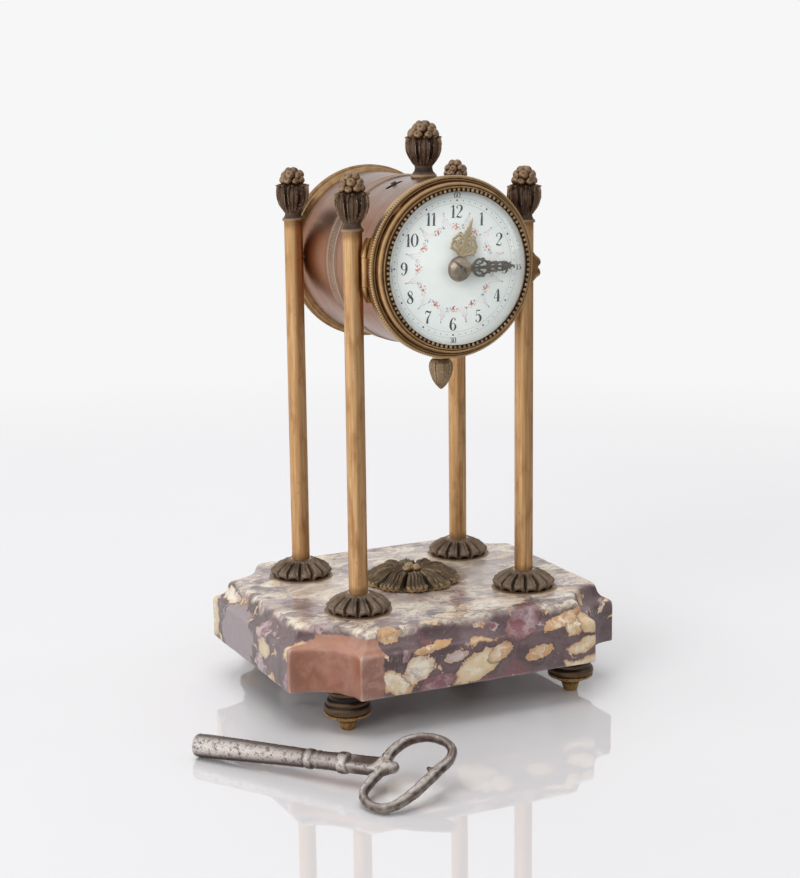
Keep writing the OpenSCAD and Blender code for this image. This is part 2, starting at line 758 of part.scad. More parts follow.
module plate_screws() {
    head_r = 1.5;
    head_h = 0.8;
    color(steel_colour) at_pillars() {
        translate([0, 0, front_plate_f]) cylinder(h = head_h, r = head_r);
        translate([0, 0, front_plate_b - 2.6]) cylinder(h = front_plate_f - front_plate_b + 2.7, r = screw_r);
        translate([0, 0, back_plate_b - head_h]) cylinder(h = head_h, r = head_r);
        translate([0, 0, back_plate_b - 0.1]) cylinder(h = back_plate_f - back_plate_b + 2.7, r = screw_r);
    }
}

// Drum for the mainspring, with the great wheel's teeth round its back
module mainspring_barrel() {
    cavity_r = 8.4;
    color(brass_colour) difference() {
        union() {
            gear(barrel_pos, [barrel_back, barrel_back + 0.8], great_teeth, great_m, 90);
            disc(barrel_pos, barrel_back + 0.7, barrel_front, 9);
        }
        disc(barrel_pos, barrel_back + barrel_wall, barrel_front - barrel_wall, cavity_r);
        hole(barrel_pos, winding_r + pivot_clear);
    }
}

module mainspring() {
    color(steel_colour) from_middle(barrel_pos, barrel_back + barrel_wall + 0.2)
        spiral_strip(2.3, 7.9, 7, 0.3, barrel_front - barrel_back - 2 * barrel_wall - 0.4);
}

module square_end(at, side, back, front) {
    from_middle(at, back) translate([-side / 2, -side / 2, 0]) cube([side, side, front - back]);
}

module winding_arbor() {
    square_front = ratchet_layer[0] - 0.3;
    color(steel_colour) {
        disc(barrel_pos, barrel_front + 0.1, front_plate_f, winding_pivot_r);
        disc(barrel_pos, square_front - 0.1, barrel_front + 0.2, winding_r);
        square_end(barrel_pos, 1.7, -square_back, square_front);
    }
}

module ratchet_wheel() {
    teeth = 24;
    pitch = 360 / teeth;
    color(steel_colour) from_middle(barrel_pos, ratchet_layer[0])
        linear_extrude(ratchet_layer[1] - ratchet_layer[0]) difference() {
            polygon([for (i = [0 : teeth - 1], k = [[3.4, 0], [4.1, 0.85]])
                k[0] * [cos((i + k[1]) * pitch), sin((i + k[1]) * pitch)]]);
            circle(winding_r);
        }
}

// Pawl whose beak stands just clear of the ratchet's teeth, on a post in the back plate
module click() {
    color(steel_colour) from_middle(click_pos, ratchet_layer[0] + 0.1) linear_extrude(0.7) difference() {
        union() {
            circle(1.3);
            polygon([[-0.4, 1.2], [-2.8, 0.3], [-3.45, -0.55], [-1.2, -1]]);
        }
        circle(click_post_r + pivot_clear);
    }
}

// Centre arbor with its pinion and wheel, and the square that the hands are set by
module centre_arbor() {
    color(steel_colour) {
        disc([0, 0], 12.9, centre_pinion_layer[0] + 0.15, centre_pivot_r);
        disc([0, 0], centre_pinion_layer[0] + 0.1, 38.4, arbor_r);
        square_end([0, 0], 1.3, -square_back, 13);
        gear([0, 0], centre_pinion_layer, centre_leaves, great_m, 90 + 180 / centre_leaves);
        crossed_wheel([0, 0], centre_layer, centre_teeth, centre_m, third_a, 1.1, 1.8, arbor_r - 0.1);
    }
}

module third_wheel() {
    color(brass_colour) {
        disc(third_pos, back_plate_b, front_plate_f, pivot_r);
        gear(third_pos, third_pinion_layer, third_leaves, centre_m, third_a + 180 + 180 / third_leaves);
        crossed_wheel(third_pos, third_layer, third_teeth, third_m, fourth_a, 1, 1.4, pivot_r - 0.1);
    }
}

module fourth_wheel() {
    color(brass_colour) {
        disc(fourth_pos, back_plate_b, front_plate_f, pivot_r);
        gear(fourth_pos, fourth_pinion_layer, fourth_leaves, third_m, fourth_a + 180 + 180 / fourth_leaves);
        crossed_wheel(fourth_pos, fourth_layer, fourth_teeth, fourth_m, 0, 0.7, 1.1, pivot_r - 0.1);
    }
}

module escape_wheel() {
    teeth = 15;
    pitch = 360 / teeth;
    wheel_t = escape_layer[1] - escape_layer[0];
    color(brass_colour) {
        disc(escape_pos, back_plate_b, front_plate_f, pivot_r);
        gear(escape_pos, escape_pinion_layer, 7, 0.16, 0);
        from_middle(escape_pos, escape_layer[0]) linear_extrude(wheel_t) difference() {
            polygon([for (i = [0 : teeth - 1], k = [[3, 0.15], [4.1, 0.55], [4.1, 0.75], [3, 0.7]])
                k[0] * [cos((i + k[1]) * pitch), sin((i + k[1]) * pitch)]]);
            circle(pivot_r - 0.1);
        }
    }
}

// Lever between escape wheel and balance, with two pallets that stand clear of the wheel
module pallet_lever() {
    to_staff = staff_pos - lever_pos;
    to_wheel = escape_pos - lever_pos;
    staff_a = atan2(to_staff[1], to_staff[0]);
    wheel_a = atan2(to_wheel[1], to_wheel[0]);
    reach = norm(to_staff) - 1.5;
    color(steel_colour) {
        disc(lever_pos, back_plate_b, front_plate_f, pivot_r);
        from_middle(lever_pos, lever_layer[0]) linear_extrude(lever_layer[1] - lever_layer[0]) {
            circle(1);
            rotate(staff_a) translate([0, -0.35]) square([reach, 0.7]);
            rotate(wheel_a) translate([-0.3, -3]) square([0.9, 6]);
        }
        for (side = [-1, 1]) from_middle(lever_pos, lever_layer[1] - 0.1) rotate(wheel_a)
            translate([0.2, side * 2.7 - 0.3, 0]) cube([0.7, 0.6, 1.1]);
    }
}

// Balance: a rim on three arms, on a staff that passes through the back plate
module balance_wheel() {
    arms = 3;
    color(brass_colour) {
        disc(staff_pos, balance_layer[0], balance_layer[1], 5.5, 4.7);
        from_middle(staff_pos, balance_layer[0] + 0.05) linear_extrude(0.5)
            for (i = [0 : arms - 1]) rotate(i * 360 / arms) translate([-0.4, -0.4]) square([5.3, 0.8]);
        disc(staff_pos, cock_layer[0] + 0.2, front_plate_f, pivot_r);
        disc(staff_pos, roller_layer[0], roller_layer[1], 0.9);
    }
}

module hairspring() {
    color(steel_colour) from_middle(staff_pos, spring_layer[0])
        spiral_strip(0.8, spring_r, 6, 0.15, spring_layer[1] - spring_layer[0]);
}

// Bridge over the balance: a foot on the back plate, the hairspring's stud and the regulator's boss
module balance_cock() {
    foot_pos = staff_pos + [-8.3, -1.5];
    foot_r = 1.9;
    stud_r = 0.3;
    stud_x = spring_r + 0.16 + stud_r;
    cock_t = cock_layer[1] - cock_layer[0];
    color(brass_colour) difference() {
        union() {
            disc(foot_pos, cock_layer[1] - 0.1, back_plate_b, foot_r - 0.2);
            disc(staff_pos, cock_layer[0] - 0.7, cock_layer[0] + 0.1, boss_r);
            disc(staff_pos + [stud_x, 0], cock_layer[0] + 0.3, spring_layer[1], stud_r);
            from_middle(staff_pos, cock_layer[0] + 0.1) translate([0, -0.6, 0])
                cube([stud_x + 0.5, 1.2, cock_t - 0.2]);
            from_middle([0, 0], cock_layer[0]) linear_extrude(cock_t) hull() {
                translate(foot_pos) circle(foot_r, $fn = 32);
                translate(staff_pos) circle(2.2, $fn = 32);
            }
        }
        hole(staff_pos, pivot_r + pivot_clear);
    }
}

// Index arm that turns on the balance cock and reaches out through the drum's slot
module regulator() {
    reach = drum_r + 0.9 - staff_d;
    color(steel_colour) from_middle(staff_pos, regulator_y - 0.25) linear_extrude(0.5) difference() {
        union() {
            circle(2);
            rotate(regulator_angle) translate([-0.5, 0]) square([1, reach]);
            rotate(regulator_angle) translate([-0.8, reach - 2.6]) square([1.6, 2.6]);
        }
        circle(boss_r + 0.06);
    }
}

// The bow's middle line: a flattened loop with a shallow dent in its far side
function signed_power(v, p) = sign(v) * pow(abs(v), p);
function bow_point(t) = let (
        x = bow_half_d * signed_power(-cos(t), 0.67),
        y = bow_half_w * signed_power(sin(t), 0.8),
        dent = x > 0 ? 1.4 * exp(-y * y / 12) : 0)
    [7 + x - dent, y];
function bow_normal(t) = let (d = bow_point(t + 1) - bow_point(t - 1)) [d[1], -d[0]] / norm(d);

// The bow's rod: rings of points round the middle line, joined to the next ring by triangles
module bow_loop() {
    points = [for (i = [0 : bow_steps - 1], k = [0 : bow_sides - 1]) let (
            t = (i + 0.5) * 360 / bow_steps,
            a = (k + 0.5) * 360 / bow_sides,
            p = bow_point(t) + bow_rod_r * cos(a) * bow_normal(t))
        [p[0], p[1], bow_rod_r * sin(a)]];
    function index(i, k) = (i % bow_steps) * bow_sides + k % bow_sides;
    faces = [for (i = [0 : bow_steps - 1], k = [0 : bow_sides - 1], half = [0, 1])
        half == 0 ? [index(i, k), index(i + 1, k + 1), index(i + 1, k)]
        : [index(i, k), index(i, k + 1), index(i + 1, k + 1)]];
    polyhedron(points, faces);
}

// Key: tapered barrel with a square socket, rings, a flat neck and the looped bow
module winding_key() {
    socket = 1.85;
    socket_depth = 12;
    neck_w = 5;
    neck_t = 3.4;
    neck_start = 51.5;
    color(steel_colour) translate(key_pos) rotate([0, -key_pitch, key_yaw]) rotate([key_twist, 0, 0]) {
        difference() {
            rotate([0, 90, 0]) rotate_extrude() polygon([
                [0, 0], [key_r - 0.3, 0], [key_r, 0.5], [key_r, 6], [2.8, 37.4], [2.4, 37.7], [2.95, 38.2],
                [2.95, 39.7], [2.45, 40.2], [2.75, 41.2], [2.65, 44.5], [2.75, 48], [3.2, 48.6], [3.2, 51.4],
                [2.7, 51.8], [0, 51.8]]);
            translate([-through, -socket / 2, -socket / 2]) cube([socket_depth + through, socket, socket]);
        }
        translate([neck_start, -neck_w / 2, -neck_t / 2]) cube([key_len - 2.2 - neck_start, neck_w, neck_t]);
        translate([key_len, 0, 0]) {
            bow_loop();
            translate([-0.9, 0, -1.9]) cylinder(h = 3.8, r = 3.1);
            translate([13.6, 0, 0]) rotate([0, -90, 0]) cylinder(h = 2.6, r1 = 1.5, r2 = 0.4);
        }
    }
}

marble_base();
for (c = CORNERS) foot(c);
for (c = CORNERS) rosette(c);
for (c = CORNERS) column(c);
for (c = CORNERS) column_finial(c);
tie_rods();
nuts();
centre_rosette();
leaf_pendant();
drum_finial();
drum_shell();
milled_band();
drum_screws();
hinge_leaf();
hinge_pins();
front_bezel();
bead_ring();
glass();
bezel_catch();
rear_ring();
rear_door();
dial_ring();
dial();
hour_hand();
minute_hand();
hand_nut();
cannon_pinion();
minute_wheel();
hour_wheel();
front_plate();
back_plate();
pillars();
plate_screws();
mainspring_barrel();
mainspring();
winding_arbor();
ratchet_wheel();
click();
centre_arbor();
third_wheel();
fourth_wheel();
escape_wheel();
pallet_lever();
balance_wheel();
hairspring();
balance_cock();
regulator();
winding_key();
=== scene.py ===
"""Looks of a four-column table clock and its winding key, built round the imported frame."""

import math

import bmesh
import bpy
import numpy as np
from mathutils import Matrix, Vector, noise


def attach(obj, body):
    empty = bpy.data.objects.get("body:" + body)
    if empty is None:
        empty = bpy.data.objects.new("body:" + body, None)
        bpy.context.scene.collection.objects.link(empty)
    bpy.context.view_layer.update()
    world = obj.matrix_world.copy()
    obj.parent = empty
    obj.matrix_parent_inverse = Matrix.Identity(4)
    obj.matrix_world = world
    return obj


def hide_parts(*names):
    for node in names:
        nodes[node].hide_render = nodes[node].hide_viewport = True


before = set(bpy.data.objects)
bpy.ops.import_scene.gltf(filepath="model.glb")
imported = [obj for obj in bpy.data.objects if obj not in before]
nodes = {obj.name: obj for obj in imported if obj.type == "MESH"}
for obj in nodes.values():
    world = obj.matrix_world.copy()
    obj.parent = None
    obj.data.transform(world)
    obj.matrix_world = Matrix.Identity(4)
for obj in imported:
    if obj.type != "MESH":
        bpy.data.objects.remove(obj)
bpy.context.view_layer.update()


# Marble base: one block of brecciated marble with scooped corners and a cove round its top,
# sawn, ground and polished; five tie rods pass through it and draw their nuts into its underside.
class Wire:
    """One socket of a material's node tree. Arithmetic on wires adds Math nodes."""

    def __init__(self, tree, socket=None):
        self.tree = tree
        self.socket = socket

    def node(self, kind, settings, sockets, out=0):
        made = self.tree.nodes.new("ShaderNode" + kind)
        for name, value in settings.items():
            if name == "stops":
                band = made.color_ramp.elements
                band[0].position, band[1].position = value[0][0], value[-1][0]
                for at, _ in value[1:-1]:
                    band.new(at)
                for element, (_, colour) in zip(band, value):
                    element.color = (*colour, 1)
            else:
                setattr(made, name, value)
        for name, value in sockets.items():
            socket = made.inputs[name]
            if isinstance(value, Wire):
                self.tree.links.new(value.socket, socket)
            else:
                socket.default_value = (*value, 1) if socket.type == "RGBA" else value
        return Wire(self.tree, made.outputs[out] if made.outputs else None)

    def maths(self, operation, *values):
        return self.node("Math", {"operation": operation}, dict(enumerate(values)))

    def __add__(self, other):
        return self.maths("ADD", self, other)

    def __sub__(self, other):
        return self.maths("SUBTRACT", self, other)

    def __rsub__(self, other):
        return self.maths("SUBTRACT", other, self)

    def __mul__(self, other):
        return self.maths("MULTIPLY", self, other)

    __radd__ = __add__
    __rmul__ = __mul__

    def __abs__(self):
        return self.maths("ABSOLUTE", self)

    def rise(self, low, high):
        """0 below low, 1 above high, smooth between."""
        limits = {"Value": self, "From Min": low, "From Max": high}
        return self.node("MapRange", {"interpolation_type": "SMOOTHSTEP"}, limits)

    def tint(self, low, high):
        """Colour low where this wire is 0, high where it is 1."""
        return self.node("Mix", {"data_type": "RGBA"}, {0: self, 6: low, 7: high}, 2)

    def ramp(self, *stops):
        """Colours along this wire, as (value, colour) stops."""
        return self.node("ValToRGB", {"stops": stops}, {0: self})

    def stretch(self, by):
        return self.node("VectorMath", {"operation": "MULTIPLY"}, {0: self, 1: by})

    def shift(self, by):
        return self.node("VectorMath", {"operation": "ADD"}, {0: self, 1: by})

    def grain(self, scale, detail=3.0, roughness=0.5, out="Fac"):
        """Cloudy noise at these coordinates; scale is in clouds per millimetre."""
        sockets = {"Vector": self, "Scale": scale, "Detail": detail, "Roughness": roughness}
        return self.node("TexNoise", {}, sockets, out)

    def cells(self, scale, feature="F1", out="Distance"):
        return self.node("TexVoronoi", {"feature": feature}, {"Vector": self, "Scale": scale}, out)

    def axis(self, name):
        return self.node("SeparateXYZ", {}, {0: self}, name)

    def length(self):
        return self.node("VectorMath", {"operation": "LENGTH"}, {0: self}, "Value")

    def ray(self, kind):
        """1 for rays of this kind."""
        return self.node("LightPath", {}, {}, f"Is {kind} Ray")

    def wear(self):
        """How far the surface stands proud, as mark_wear stored it."""
        return self.node("Attribute", {"attribute_name": "wear"}, {}, "Fac")


MM_PER_M = 1000


def blank_material(name):
    """A material with an empty tree, its first wire, and the piece's own millimetres."""
    made = bpy.data.materials.new(name)
    made.use_nodes = True
    made.node_tree.nodes.clear()
    start = Wire(made.node_tree)
    return made, start, start.node("TexCoord", {}, {}, "Object").stretch((MM_PER_M,) * 3)


def finish(name, paint, **fixed):
    """A Principled material. paint gets the piece's own millimetres and returns what varies."""
    made, start, place = blank_material(name)
    varies = paint(place)
    height, depth = varies.pop("Bump")
    varies["Normal"] = start.node("Bump", {}, {"Height": height, "Distance": depth / MM_PER_M})
    fixed = {socket.replace("_", " "): value for socket, value in fixed.items()}
    start.node("OutputMaterial", {}, {"Surface": start.node("BsdfPrincipled", {}, {**fixed, **varies})})
    return made


def grid(rows, columns, loop=False):
    """Quads of a grid whose columns run round; its rows close too where loop is set."""
    return [(i * columns + j, i * columns + (j + 1) % columns,
             (i + 1) % rows * columns + (j + 1) % columns, (i + 1) % rows * columns + j)
            for i in range(rows if loop else rows - 1) for j in range(columns)]


def circle(count):
    """Angles of equal steps all the way round."""
    return np.arange(count) * 2 * math.pi / count


def capped(points, columns):
    """Rings of this many points each, walled and closed at both ends."""
    count = len(points)
    return points, grid(count // columns, columns) + [tuple(range(columns)), tuple(range(count - columns, count))]


def polar(rings, sides, loop=False):
    """Rings of (radius, height) about an upright axis; each is a number, or an array with one for every turn."""
    radius, height = np.array([[np.ones(sides) * value for value in ring] for ring in rings]).swapaxes(0, 1)
    turn = circle(sides)
    points = np.stack([radius * np.cos(turn), radius * np.sin(turn), height], -1)
    return points.reshape(-1, 3), grid(len(rings), sides, loop)


def turned(profile, sides, centre=(0, 0)):
    """A profile of (radius, height) turned about an upright axis; it starts and ends on the axis."""
    points, faces = polar(profile, sides)
    return points + [*centre, 0], faces


def joined(*parts):
    """Several (points, faces) as one."""
    points, faces, start = [], [], 0
    for some, quads in parts:
        points.append(np.asarray(some, float))
        faces.extend(tuple(i + start for i in face) for face in quads)
        start += len(some)
    return np.concatenate(points), faces


def mark_wear(mesh, reach):
    """Stores how far each point stands out of its surroundings, which is where handling rubs."""
    count = len(mesh.vertices)
    place, normal = np.zeros((2, count * 3))
    mesh.vertices.foreach_get("co", place)
    mesh.vertices.foreach_get("normal", normal)
    place, normal = place.reshape(-1, 3), normal.reshape(-1, 3)
    ends = np.zeros(len(mesh.edges) * 2, int)
    mesh.edges.foreach_get("vertices", ends)
    a, b = ends.reshape(-1, 2).T
    near = np.bincount(np.r_[a, b], minlength=count)[:, None] + 1e-9
    spread = place
    for _ in range(reach):
        total = np.zeros_like(spread)
        np.add.at(total, a, spread[b])
        np.add.at(total, b, spread[a])
        spread = 0.5 * spread + 0.5 * total / near
    proud = ((place - spread) * normal).sum(1)
    limit = np.percentile(np.abs(proud), 92) + 1e-12
    wear = np.clip(0.5 + 0.5 * proud / limit, 0, 1)
    layer = mesh.attributes.new("wear", "FLOAT", "POINT")
    layer.data.foreach_set("value", wear.astype(np.float32))


def clean_mesh(name, shape):
    """A Blender mesh from (points, faces) in millimetres, its doubled points merged, its normals outward."""
    points, faces = shape
    mesh = bpy.data.meshes.new(name)
    mesh.from_pydata([tuple(p) for p in np.asarray(points) / MM_PER_M], [], faces)
    cleaner = bmesh.new()
    cleaner.from_mesh(mesh)
    bmesh.ops.remove_doubles(cleaner, verts=cleaner.verts, dist=1e-7)
    bmesh.ops.recalc_face_normals(cleaner, faces=cleaner.faces)
    cleaner.to_mesh(mesh)
    cleaner.free()
    return mesh


def place_object(name, data):
    made = bpy.data.objects.new(name, data)
    bpy.context.scene.collection.objects.link(made)
    return made


def piece(name, shape, material, body, stands_for=(), sharp=40, reach=0):
    """A Blender object from (points, faces) in millimetres, in the clock's frame."""
    mesh = clean_mesh(name, shape)
    mesh.shade_smooth()
    mesh.set_sharp_from_angle(angle=math.radians(sharp))
    if reach:
        mark_wear(mesh, reach)
    mesh.materials.append(material)
    made = place_object(name, mesh)
    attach(made, body)
    if stands_for:
        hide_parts(*stands_for)
    return made


CORNERS = {"fl": (-1, -1), "fr": (1, -1), "rl": (-1, 1), "rr": (1, 1)}
column_at = (29.77, 23.48)
base_half = (58.1, 50.4)
scoop_radius = 16.7
underside, marble_top = 13.0, 33.0
arris = 0.8


def base_outline(inset):
    """One level of the marble, drawn in by inset, all the way round."""
    wide, deep = base_half
    radius = scoop_radius + inset
    reach = math.sqrt(radius * radius - inset * inset)
    lean = math.asin(inset / radius)
    corner = np.array(base_half)

    def on_arc(turn):
        return corner + radius * np.array([math.cos(turn), math.sin(turn)])

    def rounded(a, b, c):
        return [(1 - t) ** 2 * a + 2 * t * (1 - t) * b + t * t * c for t in (0, 0.25, 0.5, 0.75, 1)]

    first, last = -math.pi / 2 - lean, -math.pi + lean
    side, front = np.array([wide - inset, deep - reach]), np.array([wide - reach, deep - inset])
    quarter = [np.array([wide - inset, y]) for y in np.linspace(0, side[1] - arris, 10)[:-1]]
    quarter += rounded(side - [0, arris], side, on_arc(first - arris / radius))
    quarter += [on_arc(t) for t in np.linspace(first - arris / radius, last + arris / radius, 16)[1:-1]]
    quarter += rounded(on_arc(last + arris / radius), front, front - [arris, 0])
    quarter += [np.array([x, deep - inset]) for x in np.linspace(front[0] - arris, 0, 12)[1:]]
    quarter = np.array(quarter)
    back = quarter[::-1]
    return np.concatenate([quarter[:-1], (back * [-1, 1])[:-1], (quarter * [-1, -1])[:-1],
                           (back * [1, -1])[:-1]])


levels = [(0.8, 13), (0.3, 13.1), (0.08, 13.35), (0, 13.8), (0, 16), (0, 19), (0, 22), (0, 24.6), (0.03, 25.5),
          (0.15, 26.2), (0.4, 26.7), (0.8, 27.05), (1.4, 27.38), (2.1, 27.75), (2.8, 28.2), (3.35, 28.8), (3.8, 29.6),
          (4.05, 30.5), (4.3, 31.35), (4.6, 32), (5, 32.5), (5.6, 32.86), (6.3, 33), (7.2, 33), (8.4, 33)]
rings = [np.column_stack([base_outline(inset), np.full(len(base_outline(inset)), z)]) for inset, z in levels]
around = len(rings[0])
block = np.concatenate(rings)
noise.seed_set(1)  # unseeded, Blender's noise starts from the time of day
for i, spot in enumerate(block):
    if underside < spot[2] < marble_top:
        block[i] += 0.16 * np.array(noise.noise_vector(Vector(spot * 0.33)))
        block[i] += 0.06 * np.array(noise.noise_vector(Vector(spot * 1.1)))
block[:, :2] = np.clip(block[:, :2], [-base_half[0], -base_half[1]], base_half)

VIOLET, DEEP_VIOLET, ASH = (0.15, 0.1, 0.104), (0.085, 0.054, 0.056), (0.29, 0.23, 0.226)
CREAM, IVORY, OCHRE = (0.64, 0.51, 0.32), (0.75, 0.68, 0.55), (0.5, 0.29, 0.135)
BURGUNDY, LILAC, SALMON = (0.21, 0.085, 0.092), (0.43, 0.36, 0.365), (0.265, 0.112, 0.072)
MAUVE = (0.27, 0.215, 0.23)


def brecciated(place):
    """Violet-grey ground with broken cream, ochre and wine-red stones; paler and streaky on top."""
    wander = place.grain(0.09, 3, 0.6, "Color").shift((-0.5, -0.5, -0.5)).stretch((15, 10, 10))
    ripple = place.grain(0.5, 3, 0.6, "Color").shift((-0.5, -0.5, -0.5)).stretch((3, 2.2, 2.2))
    warped = place.shift(wander).shift(ripple)
    clouds = warped.grain(0.1, 4, 0.6)
    fine = warped.grain(0.7, 4, 0.65)
    blotch = warped.grain(0.3, 4, 0.6)
    on_top = (place.axis("Z") + 10 * (place.shift(wander).grain(0.14, 2, 0.4) - 0.5)).rise(30.6, 33.4)
    ground = clouds.rise(0.38, 0.66).tint(VIOLET, DEEP_VIOLET)
    ground = (warped.grain(0.06, 2).rise(0.56, 0.63) * 0.6).tint(ground, BURGUNDY)
    ground = (fine.rise(0.55, 0.78) * 0.5).tint(ground, ASH)
    streak = warped.stretch((0.42, 1, 1)).grain(0.13, 3, 0.5)
    pale = streak.ramp(
        (0.34, (0.17, 0.12, 0.12)), (0.41, (0.4, 0.33, 0.31)), (0.46, (0.7, 0.62, 0.48)), (0.55, (0.66, 0.58, 0.46)),
        (0.59, (0.36, 0.28, 0.26)), (0.63, (0.6, 0.5, 0.4)), (0.7, (0.36, 0.29, 0.29)))
    pale = (warped.stretch((0.6, 1, 1)).grain(0.07, 3).rise(0.52, 0.58) * 0.7).tint(pale, (0.27, 0.2, 0.2))
    pale = (fine.rise(0.56, 0.72) * 0.4).tint(pale, (0.34, 0.28, 0.285))
    colour = on_top.tint(ground, pale)
    for scale, chosen, opening, soft in (((1 / 14, 1 / 9, 1 / 8.5), 0.62, 0.1, 0.05),
                                         ((0.24, 0.3, 0.3), 0.74, 0.12, 0.07)):
        stones = warped.stretch(scale)
        gap = stones.cells(1, "DISTANCE_TO_EDGE")
        pick = stones.cells(1, "F1", "Color")
        depth = gap + 0.16 * (blotch - 0.5)
        mask = depth.rise(opening, opening + soft) * pick.axis("X").rise(chosen, chosen + 0.02)
        warm = depth.rise(opening, opening + 0.22).tint(OCHRE, blotch.rise(0.4, 0.65).tint(CREAM, IVORY))
        cold = blotch.rise(0.35, 0.65).tint(BURGUNDY, LILAC)
        stone = pick.axis("Y").rise(0.68, 0.7).tint(warm, cold)
        colour = (mask * (1 - 0.45 * on_top)).tint(colour, stone)
    for centre, size, lean, shade in [
            ((-1.5, -49, 18.4), (11.5, 9, 5), 24, CREAM), ((6.5, -49, 21.8), (5.5, 6, 3.2), 30, OCHRE),
            ((-22, -49, 20.6), (6.4, 8, 4.8), 28, IVORY), ((-17, -48, 26.4), (8, 6, 1.4), 8, OCHRE),
            ((-9, -48, 22.6), (5, 7, 2.1), 8, LILAC), ((-15.5, -49, 15), (7.4, 7, 3.2), 10, BURGUNDY),
            ((20.5, -49, 19.6), (6, 7, 2.7), 14, OCHRE), ((16, -46, 29), (9.5, 9, 4.6), 28, BURGUNDY),
            ((30, -45, 28), (12, 9, 2), 14, OCHRE), ((39, -46, 25.5), (5, 7, 4), -22, CREAM),
            ((-57, 11, 20), (6, 17, 11), 0, MAUVE), ((-57, 32, 21), (7, 5, 9), 0, CREAM),
            ((-57, -13, 22), (3, 6, 4.2), 0, CREAM), ((-54, 24, 29.5), (7, 9, 2.4), 0, IVORY),
            ((-30, -45, 31), (5, 4, 3), 6, OCHRE), ((-8, -41, 31.5), (9, 5, 2.4), 4, IVORY),
            ((12, -36, 33), (15, 7, 3), 4, IVORY)]:
        turn = (0, -math.radians(lean), 0)
        local = warped.node("Mapping", {"vector_type": "TEXTURE"},
                            {"Vector": place.shift(ripple), "Location": centre, "Rotation": turn, "Scale": size})
        reach = local.length() + blotch * 0.7 + fine * 0.2
        edge = reach.rise(0.7, 1.3)
        second = {IVORY: LILAC, BURGUNDY: LILAC, MAUVE: ASH}.get(shade, IVORY)
        inner = blotch.rise(0.42, 0.7).tint(shade, second)
        outer = edge.tint(inner, shade if shade in (BURGUNDY, MAUVE) else OCHRE)
        colour = ((1 - reach.rise(1.37, 1.47)) * 0.6).tint(colour, DEEP_VIOLET)
        colour = (1 - reach.rise(1.27, 1.33)).tint(colour, (edge * 0.6).tint(inner, outer))
    veins = 1 - abs(warped.stretch((0.5, 1, 1)).grain(0.2, 4, 0.65) - 0.5).rise(0.0, 0.02)
    colour = (veins * (0.15 + 0.65 * on_top)).tint(colour, (0.16, 0.105, 0.115))
    speck = place.cells(1.4).rise(0.08, 0.2)
    colour = (0.8 + 0.2 * speck).tint((0.1, 0.075, 0.075), colour)
    loose = place.shift(ripple.stretch((0.9, 0.9, 0.9)))
    left_side = (0 - loose.axis("X")).rise(33.3, 33.8)
    horn = 1 - abs(loose.axis("X") + 55).rise(0.4, 3)
    pink_block = left_side * (1 - loose.axis("Y").rise(-32.4, -31.9)) \
        * (1 - (loose.axis("Z") - 1.5 * clouds - 2.5 * horn).rise(29.6, 30.2))
    pink = place.grain(0.25, 4, 0.6).rise(0.35, 0.7).tint(SALMON, (0.36, 0.18, 0.12))
    pink = (place.grain(0.9, 4, 0.7).rise(0.5, 0.75) * 0.6).tint(pink, (0.27, 0.11, 0.075))
    pink = (place.grain(0.16, 3).rise(0.5, 0.62) * 0.4).tint(pink, (0.33, 0.13, 0.11))
    facet = (place.axis("X") + fine).rise(-41.2, -40.2)
    pink = (facet * 0.8).tint(pink, blotch.rise(0.4, 0.6).tint((0.25, 0.12, 0.09), (0.35, 0.195, 0.145)))
    # Painted shade: the pink stone is painted a darker orange-brown toward the right end of the front scoop, standing
    # for the shading of its hollow.
    painted_scoop_shade = place.axis("X").rise(-47.5, -42) * (1 - facet) * (1 - place.axis("Y").rise(-47, -44))
    pink = (painted_scoop_shade * 0.7).tint(pink, (0.3, 0.105, 0.05))
    # Painted highlight: the pink stone is painted paler along the top of its upright face.
    painted_ledge_highlight = place.axis("Z").rise(25.9, 27.2)
    pink = (painted_ledge_highlight * 0.4).tint(pink, (0.47, 0.25, 0.17))
    colour = pink_block.tint(colour, pink)
    # Painted highlight along the arrises, together with their wear: the sharp edges are painted paler.
    arrises = place.node("NewGeometry", {}, {}, "Pointiness").rise(0.51, 0.58)
    colour = (arrises * 0.4).tint(colour, (0.78, 0.68, 0.58))
    return {"Base Color": colour, "Roughness": 0.14 + 0.14 * place.grain(0.5),
            "Bump": (place.grain(0.8, 3) + veins * -0.3, 0.05)}


marble = finish("brecciated_marble", brecciated, IOR=1.5)


def carve(target, shape):
    """Cuts (points, faces) out of an object's mesh."""
    cutter = place_object("cutter", clean_mesh("cutter", shape))
    cut = target.modifiers.new("cut", "BOOLEAN")
    cut.operation, cut.solver, cut.object = "DIFFERENCE", "EXACT", cutter
    view = bpy.context.evaluated_depsgraph_get()
    solid = bpy.data.meshes.new_from_object(target.evaluated_get(view))
    target.modifiers.remove(cut)
    target.data = solid
    bpy.data.objects.remove(cutter)


base = piece("marble_block", capped(block, around), marble, "frame", ["marble_base"], 35)
rod_hole, recess, recess_top = 1.6, 4.5, 17.0
drill = [(0, 12), (recess, 12), (recess, recess_top), (rod_hole, recess_top), (rod_hole, 34), (0, 34)]
for sx, sy in [*CORNERS.values(), (0, 0)]:
    carve(base, turned(drill, 48, (sx * column_at[0], sy * column_at[1])))
base.data.set_sharp_from_angle(angle=math.radians(35))


